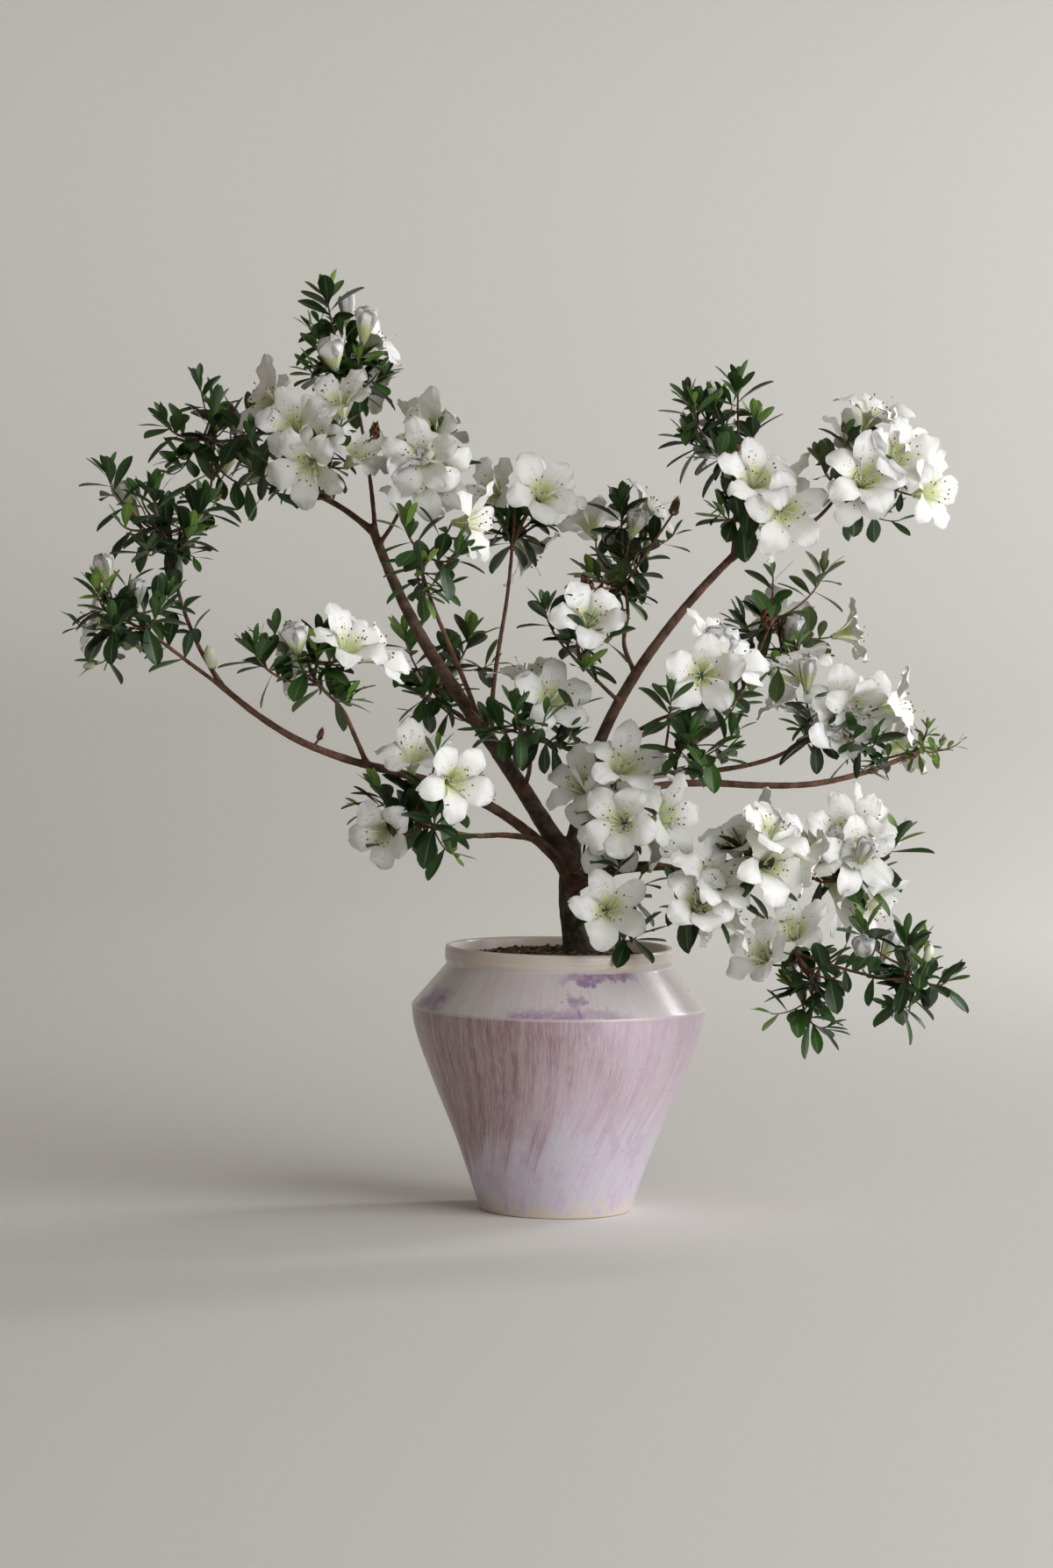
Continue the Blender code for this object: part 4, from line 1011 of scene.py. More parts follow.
def leaf_shape(rng, narrow=1.0, curl=1.0):
    """One leaf: root at the origin, tip along +Y, folded a little along the rib and bent back at the tip."""
    fold = rng.uniform(*LEAF_FOLDS)
    droop = rng.uniform(*LEAF_DROOPS) * curl
    sway = rng.uniform(-LEAF_SWAY, LEAF_SWAY)
    wave = rng.uniform(0.0, 2.0 * math.pi)
    points, maps = [], []
    for along, wide in zip(LEAF_ROWS, LEAF_OUTLINE):
        half = wide * LEAF_WIDTH * 0.5 * narrow
        for column in LEAF_COLUMNS:
            aside = column * half
            height = abs(aside) * fold - droop * along ** 2 * (1.0 - 0.25 * abs(column))
            height += LEAF_WAVE * abs(column) * math.sin(wave + along * 7.0)
            if abs(column) < 0.3:
                height += RIB_HEIGHT
            points.append((aside + sway * along ** 2, along * LEAF_LENGTH, height))
            maps.append((column * 0.5 + 0.5, along))
    faces, kinds = [], []
    across = len(LEAF_COLUMNS)
    for row in range(len(LEAF_ROWS) - 1):
        for column in range(across - 1):
            low, high = row * across + column, (row + 1) * across + column
            faces.append((low, low + 1, high + 1, high))
            kinds.append(1 if column == across // 2 - 1 and row < len(LEAF_ROWS) - 2 else 0)
    return shape_of(points, faces, kinds, maps)


def frame_at(place, heading, turn, size=1.0):
    """A placing matrix: its Y along the heading, its Z as near upright as the turn lets it."""
    side = heading.cross(UP)
    if side.length < 0.1:
        side = Vector((1.0, 0.0, 0.0))
    side.normalize()
    side.rotate(Matrix.Rotation(turn, 3, heading))
    normal = side.cross(heading)
    turned_axes = Matrix((side, heading, normal)).transposed()
    return Matrix.Translation(place) @ (turned_axes * size).to_4x4()


def back_along(line, distance):
    """The point that far back from the line's end, and the heading there."""
    for start, end in zip(line[-2::-1], line[:0:-1]):
        length = (end - start).length
        if distance <= length:
            return end.lerp(start, distance / length), (end - start) / length
        distance -= length
    return line[0], (line[1] - line[0]).normalized()


class Foliage:
    """Leaves of all ages, dealt out spray by spray."""

    def __init__(self):
        rng = random.Random(17)
        self.broad = [leaf_shape(rng, narrow=rng.uniform(*BROAD_WIDTHS)) for _ in range(LEAF_KINDS)]
        self.young = [leaf_shape(rng, narrow=YOUNG_WIDTH, curl=0.4) for _ in range(LEAF_KINDS)]
        self.heap = Heap()
        self.fresh = Heap()

    def leaf(self, root, along, roll, size, young, tone, rng):
        """One leaf in its tone, with a paler rib."""
        shape = rng.choice(self.young if young else self.broad)
        rib = BRIGHT_RIB if tone == BRIGHT else PALE_RIB
        kinds = np.where(shape.kinds == 1, rib, tone)
        heap = self.fresh if tone == BRIGHT else self.heap
        heap.add(shape._replace(kinds=kinds), frame_at(root, along, roll, size))

    def rosette(self, spray):
        """The leaves of one shoot, from the lowest to the bud."""
        rng = spray.rng
        clump = spray.clump
        count = LEAF_COUNTS[spray.sort]
        collar = spray.sort == "collar"
        all_new = clump.fresh == 1.0
        fresh = rng.random() < clump.fresh
        old_tone = rng.choices((DARK, GREEN, OLIVE), (6, 4, 1))[0]
        turn = rng.uniform(0.0, 2.0 * math.pi)
        for number in range(count):
            age = 1.0 - number / (count - 1)
            below = blend(COLLAR_REACH, age) if collar else ROSETTE_REACH * age ** 1.6
            root, heading = back_along(spray.line, below)
            tilt = blend(LEAF_TILTS, (1.0 - age) ** 0.8) + rng.uniform(-TILT_STRAY, TILT_STRAY)
            if collar:
                tilt = rng.uniform(*COLLAR_TILTS)
            size = blend(ROSETTE_SIZES, min(1.0, age * 1.7)) * rng.uniform(*SIZE_STRAY)
            if spray.sort == "fine":
                size *= FINE_SIZE
            if all_new:
                size *= NEW_LEAF
            aside = heading.orthogonal().normalized()
            aside.rotate(Matrix.Rotation(turn + number * GOLDEN_ANGLE, 3, heading))
            tilt = math.radians(tilt)
            along = heading * math.cos(tilt) + aside * math.sin(tilt)
            along = (along + UP * 0.10 * (1.0 - age)).normalized()
            young = (age < YOUNG_AGE or all_new) and not collar
            tone = old_tone
            if young and fresh:
                tone = BRIGHT
            elif young and old_tone == DARK:
                tone = GREEN
            roll = rng.uniform(-0.4, 0.4)
            if in_space(clump, root + along * LEAF_LENGTH * size):
                self.leaf(root, along, roll, size, young, tone, rng)

    def strung(self, line, rng):
        """Leaves in loose pairs along a slender limb."""
        length = sum((end - start).length for start, end in zip(line, line[1:]))
        gone = STRUNG_FROM
        turn = rng.uniform(0.0, 2.0 * math.pi)
        while gone < length * STRUNG_PART:
            root, heading = back_along(line, gone)
            turn += GOLDEN_ANGLE
            gone += STRUNG_SPACING * rng.uniform(0.5, 1.6)
            aside = heading.orthogonal().normalized()
            aside.rotate(Matrix.Rotation(turn, 3, heading))
            for side in (-1.0, 1.0):
                along = (heading * 0.5 + aside * side + UP * 0.15).normalized()
                tone = rng.choice((DARK, DARK, GREEN))
                if rng.random() < PAIRED:
                    roll = rng.uniform(-0.5, 0.5)
                    self.leaf(root, along, roll, rng.uniform(*STRUNG_SIZES), False, tone, rng)


def leaf_veins():
    """The effect that draws the net of veins on a leaf's map, as a height."""
    group, given, out = effect("leaf_veins", {"Place": "Vector", "Scale": "Float"}, {"Height": "Float"})
    meshes = {"Vector": given["Place"], "Scale": given["Scale"]}
    group.links.new(node(group, "TexVoronoi", meshes, feature="DISTANCE_TO_EDGE"), out["Height"])
    return group


LEAF_VEINS = leaf_veins()


def leaf_finish(name, colour, roughness):
    """A plain colour under a half-gloss, with the net of veins in relief."""
    finish, shader = surface(name, Base_Color=colour, Roughness=roughness, Specular_IOR_Level=0.45)
    tree = finish.node_tree
    place = node(tree, "UVMap", uv_map="shape_map")
    veins = node(tree, "Group", {"Place": place, "Scale": 9.0}, node_tree=LEAF_VEINS)
    in_relief(tree, shader, veins, 0.25, 0.0006)
    return finish


foliage = Foliage()
for spray in twigs.sprays:
    foliage.rosette(spray)
for limb in LIMBS:
    if limb.name in LEAFY_LIMBS:
        line = flowing(*limb_shapes[limb.name], BARK_STEP)[0]
        foliage.strung(line, random.Random(limb.name))
finishes = [
    leaf_finish("dark_leaf", rgb(0.022, 0.050, 0.017), 0.36),
    leaf_finish("green_leaf", rgb(0.040, 0.098, 0.020), 0.38),
    leaf_finish("olive_leaf", rgb(0.075, 0.105, 0.034), 0.42),
    leaf_finish("bright_leaf", rgb(0.130, 0.235, 0.038), 0.42),
    leaf_finish("pale_rib", rgb(0.085, 0.150, 0.050), 0.45),
    leaf_finish("bright_rib", rgb(0.22, 0.34, 0.09), 0.45),
]
leaves = foliage.heap.build("old_leaves", finishes)
young_leaves = foliage.fresh.build("young_leaves", finishes)
for piece in (leaves, young_leaves):
    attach(piece, "root")
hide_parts(*(clump.name for clump in CLUMPS if clump.name.endswith("_leaves")))

# ---- The flowers -----------------------------------------------------------------------------------
# A thin white funnel that opens into five ruffled petals, lime in the throat, with olive flecks on the
# upper petals, long curved stamens with red-brown tips, and one longer pistil, in a small green calyx.

BLOOM_RADIUS = 38.0
NECK_RADIUS = 2.4
PETALS = 5
PETAL_ROWS = (0.0, 0.12, 0.24, 0.34, 0.43, 0.52, 0.61, 0.70, 0.78, 0.85, 0.91, 0.96, 0.99, 1.0)
PETAL_ACROSS = 10
PETAL_LENGTHS = (0.90, 1.08)
PETAL_WIDTHS = (0.84, 1.10)
THROAT_END = 0.36              # of a petal's length, where the petals part
LOBE_OPENS = 0.28              # of the length, from there to where the lobe is free
LOBE_HALF = 13.4               # half the width of a petal's free lobe
LOBE_WIDEST = 0.64             # of the length, where the lobe starts to round off
LIMB_LEVEL = 0.86              # of the length, where a petal lies flat
FLARE = 1.4                    # the larger, the later the funnel opens
PETAL_OVERLAP = 1.04
NOTCH_DEPTH = 1.4              # in the middle of the tip
TIP_STRAY = 2.4                # of the tip, to either side
LOBE_ROUNDNESS = (1.8, 2.5)
CURL_FROM = 0.6                # of the length, where a petal starts to curl back
TIP_CURLS = (-3.0, 9.0, 2.5)   # the least, the most and the likeliest, back from flat
PETAL_TILT = (2.0, 9.0)        # degrees, the usual and how far it strays
CUPS = (-1.2, 2.4)             # how far the edges hang below the middle
LAP = 0.8                      # of one edge over the next petal
GROOVE_DEPTH = 0.8             # down the middle
GROOVE_HALF = 0.15             # of the half-width
TIP_WAVE = 0.7
RUFFLES = (1.2, 2.9)
RUFFLE_WAVES = (2.4, 4.4)
BLOOM_KINDS = 12
OPENED = (0.88, 1.06)          # of an open flower
HALF_OPENED = (0.30, 0.36, 0.44)
HALF_OPEN = 0.6                # below this the petals still close over each other
HALF_OPEN_SIZES = (0.75, 1.0)
BUD_SWELLING = 29.0            # the radius of a flower still closed, for how far it has opened
FLOWER_NOD = 0.40              # how far a flower turns from its shoot's heading
FLOWER_ROLL = 0.4              # and round its own middle line
FLECK_ROWS = (4, 7)            # from the first ring of faces to past the last
FLECK_MARGIN = 3               # faces left free at each edge
FLECK_HALF = (0.75, 0.42)      # half its length and half its width
FLECK_CLEAR = 0.22             # over the petal
FLECKS_ON_TOP = 13
FLECKS_BESIDE = 5              # on each of the two next to the top one
TUBE, THROAT, LIME, CREAMY, WHITE, FLECK = range(6)


def petal_profile(rng, along, opened):
    """How far out, how high and how wide each row of a petal is, and how far it is past the widest."""
    length, width = rng.uniform(*PETAL_LENGTHS), rng.uniform(*PETAL_WIDTHS)
    full_reach = NECK_RADIUS + (BLOOM_RADIUS - NECK_RADIUS) * along ** FLARE * length
    reach = NECK_RADIUS + (full_reach - NECK_RADIUS) * opened
    height = BLOOM_DEPTH * 0.94 * np.sin(np.minimum(along / LIMB_LEVEL, 1.0) * math.pi * 0.5)
    height = height * (1.0 + 0.45 * (1.0 - opened)) + 9.0 * (1.0 - opened) * along
    past = np.clip((along - LOBE_WIDEST) / (1.0 - LOBE_WIDEST), 0.0, 1.0)
    lobe = LOBE_HALF * width * np.sqrt(np.maximum(0.0, 1.0 - past ** rng.uniform(*LOBE_ROUNDNESS)))
    half = np.minimum(full_reach * math.tan(math.pi / PETALS) * PETAL_OVERLAP, np.maximum(lobe, 1.0))
    if opened < HALF_OPEN:
        reach = NECK_RADIUS * (1.0 - along) + BUD_SWELLING * opened * np.sin(math.pi * 0.97 * along ** 1.15)
        half = np.minimum(half, reach)
    return reach, height, half, past


def petal_relief(rng, along, across, reach, spread, curl, opened):
    """What a petal's curl, cup, lap, groove, tilt and ruffles add to its height."""
    relief = -opened * rng.triangular(*TIP_CURLS) * curl
    relief = relief - rng.uniform(*CUPS) * spread * across ** 2 * opened
    relief = relief + LAP * across * spread
    relief = relief - GROOVE_DEPTH * np.exp(-((across / GROOVE_HALF) ** 2)) * spread * (1.0 - curl)
    relief = relief + (reach - 10.0) * math.tan(math.radians(rng.gauss(*PETAL_TILT))) * spread
    ruffle = rng.uniform(*RUFFLES) * opened
    for side in (-1.0, 1.0):
        waves, shift = rng.uniform(*RUFFLE_WAVES), rng.uniform(0.0, 2.0 * math.pi)
        edge = np.clip(across * side, 0.0, 1.0) ** 2.0
        relief = relief + ruffle * edge * np.sin(2.0 * math.pi * waves * along + shift) * spread
    return relief + TIP_WAVE * opened * curl * np.sin(math.pi * 2.6 * across + rng.uniform(0.0, 6.0))


def petal_grid(rng, opened):
    """Points of one petal by row and column, its root at the flower's neck, in the flower's own frame."""
    along = np.array(PETAL_ROWS)[:, None]
    across = np.linspace(-1.0, 1.0, PETAL_ACROSS + 1)[None, :]
    spread = np.clip((along - THROAT_END) / LOBE_OPENS, 0.0, 1.0)
    spread = spread * spread * (3.0 - 2.0 * spread)
    curl = np.clip((along - CURL_FROM) / (1.0 - CURL_FROM), 0.0, 1.0) ** 1.7
    reach, height, half, past = petal_profile(rng, along, opened)
    height = height + petal_relief(rng, along, across, reach, spread, curl, opened)
    reach = reach - NOTCH_DEPTH * past ** 2 * (1.0 - np.abs(across)) ** 2
    aside = across * half + rng.gauss(0.0, TIP_STRAY) * curl
    bend = 1.0 - spread * opened
    angle = aside / np.maximum(reach, 1.0)
    x = aside * (1.0 - bend) + np.sin(angle) * reach * bend
    r = reach * (1.0 - bend) + np.cos(angle) * reach * bend + (1.5 - opened) * across * bend
    return np.stack([x, height, r], axis=-1)


def petal_tone(row, upper):
    """The finish of a ring of faces: lime runs further up the upper petals."""
    along = (PETAL_ROWS[row] + PETAL_ROWS[row + 1]) / 2.0 + (0.0 if upper else 0.10)
    for end, tone in ((0.18, TUBE), (0.31, THROAT), (0.44, LIME), (0.56, CREAMY)):
        if along < end:
            return tone
    return WHITE


def flecks_on(grid, rng, count):
    """Small lozenges just over the upper side of a petal, near its throat."""
    points = []
    for _ in range(count):
        row = rng.randrange(*FLECK_ROWS)
        column = rng.randrange(FLECK_MARGIN, PETAL_ACROSS - FLECK_MARGIN)
        corner, beyond, beside = grid[row, column], grid[row + 1, column], grid[row, column + 1]
        middle = corner + (beyond - corner) * rng.random() + (beside - corner) * rng.random()
        out = np.cross(beyond - corner, beside - corner)
        middle = middle + out / np.linalg.norm(out) * math.copysign(FLECK_CLEAR, out[1])
        long = (beyond - corner) / np.linalg.norm(beyond - corner) * FLECK_HALF[0]
        wide = (beside - corner) / np.linalg.norm(beside - corner) * FLECK_HALF[1]
        points.append((middle - long, middle - wide, middle + long, middle + wide))
    return points


def bloom_shape(rng, opened=1.0):
    """A whole flower: five petals, the first of them on top, and its flecks."""
    points, faces, kinds, maps = [], [], [], []
    columns = PETAL_ACROSS + 1
    for petal in range(PETALS):
        grid = petal_grid(rng, opened * rng.uniform(0.94, 1.04))
        turn = 2.0 * math.pi * petal / PETALS + rng.gauss(0.0, 0.05)
        axes = np.array(Matrix.Rotation(turn, 3, "Y").transposed())
        placed = grid @ axes
        first = len(points)
        points.extend(placed.reshape(-1, 3))
        maps.extend((column / PETAL_ACROSS, along) for along in PETAL_ROWS for column in range(columns))
        upper = petal in (0, 1, 4)
        for row in range(len(PETAL_ROWS) - 1):
            for column in range(PETAL_ACROSS):
                low = first + row * columns + column
                faces.append((low, low + columns, low + columns + 1, low + 1))
                kinds.append(petal_tone(row, upper))
        if upper and opened > HALF_OPEN:
            for corners in flecks_on(placed, rng, FLECKS_BESIDE if petal else FLECKS_ON_TOP):
                faces.append(tuple(range(len(points), len(points) + 4)))
                points.extend(corners)
                maps.extend([(0.5, 0.5)] * 4)
                kinds.append(FLECK)
    return shape_of(points, faces, kinds, maps)


def petal_veins():
    """The effect that draws fine veins from the throat to the edge on a petal's map, as a height."""
    group, given, out = effect("petal_veins", {"Place": "Vector", "Along": "Vector"}, {"Height": "Float"})
    group.links.new(noisy(group, drawn_out(group, given["Place"], given["Along"]), 1.0, 2.0), out["Height"])
    return group


PETAL_VEINS = petal_veins()


def petal_finish(name, colour):
    """A thin soft petal that lets light in: a plain colour, with fine veins that run out to the edge."""
    finish, shader = surface(
        name, Base_Color=colour, Roughness=0.55, Specular_IOR_Level=0.3,
        Subsurface_Weight=0.8, Subsurface_Radius=(1.0, 0.95, 0.85), Subsurface_Scale=0.02
    )
    tree = finish.node_tree
    place = node(tree, "UVMap", uv_map="shape_map")
    veins = node(tree, "Group", {"Place": place, "Along": (26.0, 2.2, 1.0)}, node_tree=PETAL_VEINS)
    in_relief(tree, shader, veins, 0.35, 0.0007)
    return finish


STAMENS = 9
FAN_STEP = 0.55                # radians from stamen to stamen, in the fan below the middle
STAMEN_REACHES = (8.0, 14.5)   # of the tip, from the flower's middle line
STAMEN_RISES = (25.0, 33.0)    # of the tip, from the neck
TIP_LIFTS = (0.0, 5.0)
PISTIL_REACH = 1.25            # times a stamen's
PISTIL_RISES = (38.0, 43.0)
THREAD_FOOT = 5.0              # up the funnel from the neck
THREAD_RADII = (0.40, 0.26)
THREAD_POINTS = 6
THREAD, PISTIL, TIP, KNOB = range(4)
OUTWARD = Vector((0.0, 1.0, 0.0))      # in the flower's own frame
UPPER_SIDE = Vector((0.0, 0.0, 1.0))
POD_OUTLINE = ((0.0, 0.25), (0.18, 0.85), (0.5, 1.0), (0.82, 0.7), (1.0, 0.15))  # of its length and radius


def pod(length, radius, sides=6):
    """A small closed pod along +Y."""
    line = [OUTWARD * (length * along) for along, _ in POD_OUTLINE]
    return tube(line, [radius * wide for _, wide in POD_OUTLINE], sides)


TIP_SHAPE = pod(2.3, 0.85)
KNOB_SHAPE = pod(1.5, 0.8)


def stamens_of(rng, heap, frame):
    """Nine curved threads with a tip each, and the pistil that outreaches them."""
    for number in range(STAMENS + 1):
        pistil = number == STAMENS
        turn = math.pi + (number - (STAMENS - 1) / 2.0) * FAN_STEP + rng.gauss(0.0, 0.25)
        if pistil:
            turn = math.pi + rng.gauss(0.0, 0.3)
        out = Vector((math.sin(turn), 0.0, math.cos(turn)))
        reach = rng.uniform(*STAMEN_REACHES)
        rise = rng.uniform(*STAMEN_RISES)
        if pistil:
            reach *= PISTIL_REACH
            rise = rng.uniform(*PISTIL_RISES)
        foot = OUTWARD * THREAD_FOOT + out
        end = OUTWARD * rise + out * reach + UPPER_SIDE * rng.uniform(*TIP_LIFTS)
        line = curved_line(foot, foot + OUTWARD * (rise * 0.55) + out * reach * 0.25, end, THREAD_POINTS)
        heap.add(tube(line, tapered(THREAD_RADII, THREAD_POINTS), 4), frame, PISTIL if pistil else THREAD)
        along = (line[-1] - line[-2]).normalized()
        tip = Matrix.Translation(end) @ along.to_track_quat("Y", "Z").to_matrix().to_4x4()
        heap.add(KNOB_SHAPE if pistil else TIP_SHAPE, frame @ tip, KNOB if pistil else TIP)


# The reach, height and turn of each corner of one green point.
SEPAL_OUTLINE = (
    (1.6, -1.0, -0.45), (1.6, -1.0, 0.45), (3.4, 3.0, 0.225), (4.0, 6.0, 0.0), (3.4, 3.0, -0.225)
)


def calyx_shape():
    """Five short green points round the neck."""
    points, faces = [], []
    for number in range(PETALS):
        turn = 2.0 * math.pi * (number + 0.5) / PETALS
        for reach, height, aside in SEPAL_OUTLINE:
            points.append((math.cos(turn + aside) * reach, height, math.sin(turn + aside) * reach))
        faces.append(tuple(range(len(points) - len(SEPAL_OUTLINE), len(points))))
    return shape_of(points, faces)


flower_rng = random.Random(5)
open_shapes = [bloom_shape(flower_rng, flower_rng.uniform(*OPENED)) for _ in range(BLOOM_KINDS)]
half_open_shapes = [bloom_shape(flower_rng, opened) for opened in HALF_OPENED]
calyx = calyx_shape()
petals = Heap()
stamens = Heap()
green_parts = Heap()
for bloom in twigs.blooms:
    roll = bloom.rng.gauss(0.0, FLOWER_ROLL)
    nod = Vector([bloom.rng.gauss(0.0, FLOWER_NOD) for _ in range(3)])
    placed = frame_at(bloom.neck, (bloom.heading + nod).normalized(), roll, bloom.size)
    petals.add(bloom.rng.choice(open_shapes), placed)
    stamens_of(bloom.rng, stamens, placed)
    green_parts.add(calyx, placed)
for bloom in twigs.half_open:
    size = bloom.size * bloom.rng.uniform(*HALF_OPEN_SIZES)
    placed = frame_at(bloom.neck, bloom.heading, bloom.turn, size)
    petals.add(bloom.rng.choice(half_open_shapes), placed)
    green_parts.add(calyx, placed)
petal_mesh = petals.build("petals", [
    petal_finish("petal_tube", rgb(0.74, 0.80, 0.52)),
    petal_finish("petal_throat", rgb(0.72, 0.79, 0.40)),
    petal_finish("petal_lime", rgb(0.80, 0.84, 0.58)),
    petal_finish("petal_creamy", rgb(0.90, 0.905, 0.79)),
    petal_finish("petal_white", rgb(0.93, 0.92, 0.885)),
    petal_finish("petal_fleck", rgb(0.26, 0.28, 0.05)),
])
stamen_mesh = stamens.build("stamens", [
    mottled("stamen_thread", rgb(0.80, 0.80, 0.66), rgb(0.86, 0.84, 0.76), 200.0, 0.0002, 0.5),
    mottled("pistil", rgb(0.62, 0.70, 0.36), rgb(0.74, 0.76, 0.50), 200.0, 0.0002, 0.5),
    mottled("stamen_tip", rgb(0.22, 0.055, 0.025), rgb(0.34, 0.10, 0.04), 500.0, 0.0002, 0.8),
    mottled("pistil_tip", rgb(0.30, 0.36, 0.08), rgb(0.40, 0.42, 0.12), 500.0, 0.0002, 0.5),
])
for piece in (petal_mesh, stamen_mesh):
    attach(piece, "root")
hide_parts(*(clump.name for clump in CLUMPS if not clump.name.endswith("_leaves")))

# ---- The buds --------------------------------------------------------------------------------------
# At the end of a shoot sits a bud wrapped in scales: most are brown, some green, and a few swell white.
# Larger ones stand on the limbs by short spurs.

# The reach, height and turn of each corner of one scale, as parts of the bud's bulge and length.
SCALE_OUTLINE = (
    (0.7, 0.0, -0.8), (0.7, 0.0, 0.8), (1.12, 0.20, 0.55), (0.85, 0.42, 0.0), (1.12, 0.20, -0.55)
)
SCALES_ROUND = 4


def bud_shape(length, radius, scales):
    """A pointed bud with overlapping scales that stand off at their tips."""
    points, faces = [], []
    for ring in range(scales):
        low = length * ring / (scales + 1.0)
        bulge = radius * (1.0 - 0.75 * (ring / scales) ** 2)
        for number in range(SCALES_ROUND):
            turn = 2.0 * math.pi * (number + 0.5 * (ring % 2)) / SCALES_ROUND
            faces.append(tuple(range(len(points), len(points) + len(SCALE_OUTLINE))))
            for part, up, aside in SCALE_OUTLINE:
                reach = part * bulge
                place = (math.cos(turn + aside) * reach, low + length * up, math.sin(turn + aside) * reach)
                points.append(place)
    return shape_of(points, faces)


BUD_CHANCE = 0.30
BUD_SIZES = (0.7, 1.0)
BUD_SHARES = (7, 3, 1)         # brown ones, green ones, white ones
SCALY, GREEN_BUD, WHITE_BUD = 1, 2, 3    # the finishes after the calyx's own
SPUR_RADII = (1.3, 1.1)
SPUR_POINTS = 5

# The limb a bud stands on by a short spur, how far up it, where the bud's foot is, its size, and whether
# it opens: then a white bud pushes out of its scales.
LimbBud = namedtuple("LimbBud", "limb at foot size opens")
LIMB_BUDS = [LimbBud(*row) for row in (
    ("low_left_limb", 0.985, (-313, -118, 494), 1.3, True),
    ("low_left_limb", 0.71, (-219, -96, 432), 1.1, False),
    ("left_crown", 0.58, (-256, -40, 692), 1.9, False),
    ("top_riser", 0.72, (-176, -34, 704), 1.8, False),
    ("right_crown", 0.98, (250, -66, 676), 1.8, False),
    ("right_back", 0.98, (190, 118, 540), 1.8, False),
    ("top_centre_stem", 0.93, (24, 50, 570), 1.8, False),
    ("top_centre_stem", 0.97, (98, 40, 640), 1.7, False),
)]
bud_shapes = {SCALY: bud_shape(11.0, 2.7, 4), GREEN_BUD: pod(12.0, 2.9, 8), WHITE_BUD: pod(17.0, 4.6, 10)}
for spray in twigs.sprays:
    if spray.sort == "collar" or spray.rng.random() > BUD_CHANCE:
        continue
    roll = spray.rng.uniform(0.0, 6.0)
    placed = frame_at(spray.line[-1], spray.heading, roll, spray.rng.uniform(*BUD_SIZES))
    kind = spray.rng.choices(list(bud_shapes), BUD_SHARES)[0]
    green_parts.add(bud_shapes[kind], placed, kind)
for bud in LIMB_BUDS:
    root = point_on(limb_shapes[bud.limb][0], bud.at)[0]
    foot = Vector(bud.foot)
    heading = ((foot - root).normalized() + UP).normalized()
    spur = curved_line(root, root.lerp(foot, 0.6), foot + heading, SPUR_POINTS)
    green_parts.add(tube(spur, tapered(SPUR_RADII, SPUR_POINTS), 6), kind=SCALY)
    placed = frame_at(foot, heading, 0.0, bud.size)
    for kind in (SCALY, WHITE_BUD) if bud.opens else (SCALY,):
        green_parts.add(bud_shapes[kind], placed, kind)
bud_mesh = green_parts.build("buds_and_calyces", [
    mottled("calyx_green", rgb(0.12, 0.19, 0.045), rgb(0.20, 0.26, 0.08), 300.0, 0.0002, 0.55),
    mottled("bud_scale", rgb(0.10, 0.042, 0.022), rgb(0.23, 0.12, 0.055), 260.0, 0.0004, 0.6),
    mottled("green_bud", rgb(0.13, 0.20, 0.05), rgb(0.30, 0.34, 0.12), 260.0, 0.0003, 0.5),
    mottled("white_bud", rgb(0.66, 0.74, 0.42), rgb(0.85, 0.87, 0.74), 120.0, 0.0003, 0.5),
])
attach(bud_mesh, "root")

# ---- The room --------------------------------------------------------------------------------------
# A plain pale floor that sweeps up into a wall all round, soft light from a window on the right and
# another on the wall behind, a dim warm glow from all sides, and a camera across the room.

SWEEP_OUTLINE = (              # radius, height and rounding of each corner
    (2600.0, -0.3, 0.0), (4900.0, 0.0, 1100.0), (6700.0, 560.0, 1500.0), (7500.0, 3000.0, 0.0),
)


def pale_sweep():
    """The floor and the wall round it in one sheet, open at the top."""
    piece = turned("pale_floor", rounded(SWEEP_OUTLINE, 10))
    lid = max(piece.data.polygons, key=lambda face: face.center.z).index
    bpy.context.view_layer.objects.active = piece
    bpy.ops.object.mode_set(mode="EDIT")
    bpy.ops.mesh.select_all(action="DESELECT")
    bpy.ops.object.mode_set(mode="OBJECT")
    for corner in piece.data.polygons[lid].vertices:
        piece.data.vertices[corner].select = True
    piece.data.polygons[lid].select = True
    bpy.ops.object.mode_set(mode="EDIT")
    bpy.ops.mesh.delete(type="FACE")
    bpy.ops.mesh.select_all(action="SELECT")
    bpy.ops.mesh.normals_make_consistent(inside=True)
    bpy.ops.object.mode_set(mode="OBJECT")
    finish, shader = surface("pale_paint", Base_Color=rgb(0.76, 0.745, 0.715), Roughness=0.85)
    tree = finish.node_tree
    grain = noisy(tree, node(tree, "TexCoord", output=3), 60.0, 3.0)
    in_relief(tree, shader, grain, 0.05, 0.002)
    piece.data.materials.append(finish)
    return piece


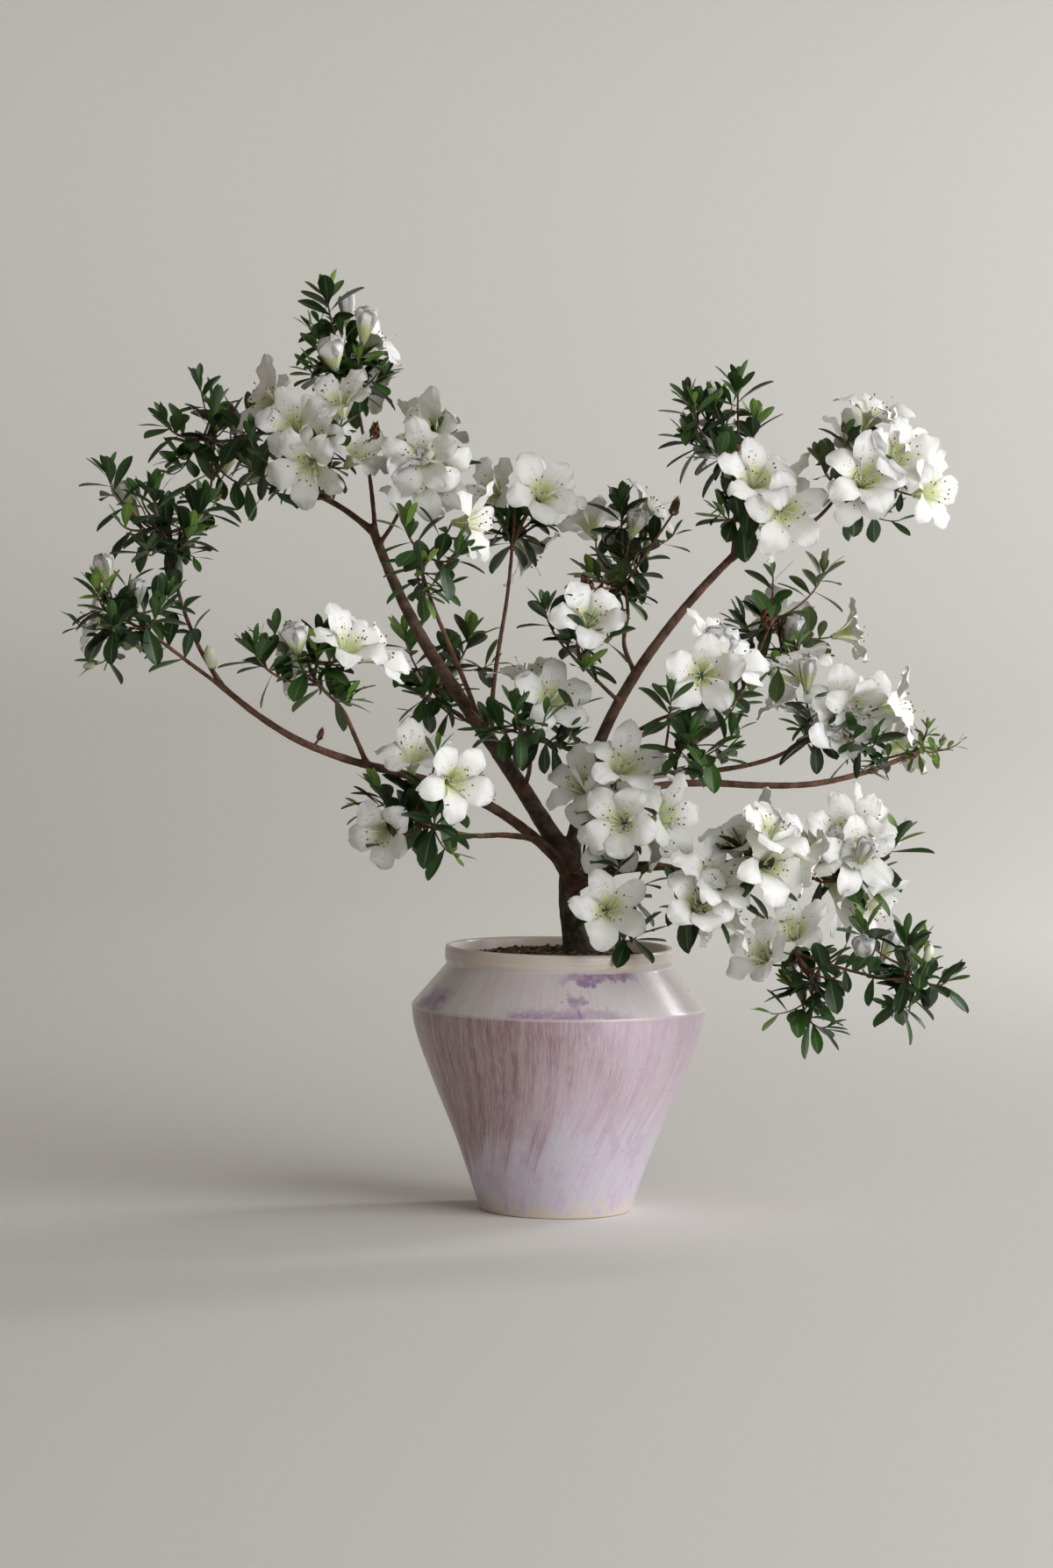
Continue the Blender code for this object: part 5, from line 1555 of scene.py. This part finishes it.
def soft_light(name, place, look_at, size, power, colour):
    """A large soft lamp that looks at a point."""
    lamp = bpy.data.lights.new(name, "AREA")
    lamp.shape = "RECTANGLE"
    lamp.size, lamp.size_y = size
    lamp.energy = power
    lamp.color = colour
    holder = bpy.data.objects.new(name, lamp)
    bpy.context.scene.collection.objects.link(holder)
    holder.location = place
    holder.rotation_euler = (Vector(look_at) - Vector(place)).to_track_quat("-Z", "Y").to_euler()


DAYLIGHT = (0.985, 0.99, 1.0)
ROOM_GLOW = rgb(1.0, 0.87, 0.72)
ROOM_GLOW_STRENGTH = 0.15

pale_sweep()
soft_light("window", (2.7, -1.9, 1.6), (0.0, 0.0, 0.45), (3.8, 3.2), 138.0, DAYLIGHT)
soft_light("wall_window", (3.8, 2.6, 2.6), (0.0, 6.6, -0.1), (2.0, 2.0), 175.0, DAYLIGHT)
world = bpy.data.worlds.new("room_light")
bpy.context.scene.world = world
world.use_nodes = True
glow = world.node_tree.nodes["Background"]
glow.inputs["Color"].default_value = ROOM_GLOW
glow.inputs["Strength"].default_value = ROOM_GLOW_STRENGTH

PICTURE_HEIGHT = 1787.0        # pixels
LENS_IN_PIXELS = 4900.0
SENSOR = 36.0
CAMERA_PLACE = (-0.0327165, -3.9396, 0.5781654)
CAMERA_PITCH = 0.0475442       # radians, downwards
CAMERA_ROLL = 0.0168456        # radians, to the left


def room_camera():
    """The camera, with its three axes worked out from its pitch and roll."""
    data = bpy.data.cameras.new("camera")
    data.sensor_fit = "VERTICAL"
    data.sensor_height = SENSOR
    data.lens = LENS_IN_PIXELS / PICTURE_HEIGHT * SENSOR
    ahead = Vector((0.0, math.cos(CAMERA_PITCH), -math.sin(CAMERA_PITCH)))
    above = Vector((0.0, math.sin(CAMERA_PITCH), math.cos(CAMERA_PITCH)))
    right = Vector((1.0, 0.0, 0.0))
    rolled_right = right * math.cos(CAMERA_ROLL) + above * math.sin(CAMERA_ROLL)
    rolled_up = above * math.cos(CAMERA_ROLL) - right * math.sin(CAMERA_ROLL)
    camera = bpy.data.objects.new("camera", data)
    bpy.context.scene.collection.objects.link(camera)
    turned_axes = Matrix((rolled_right, rolled_up, -ahead)).transposed().to_4x4()
    camera.matrix_world = Matrix.Translation(CAMERA_PLACE) @ turned_axes
    bpy.context.scene.camera = camera


room_camera()
bpy.context.scene.view_settings.view_transform = "Standard"
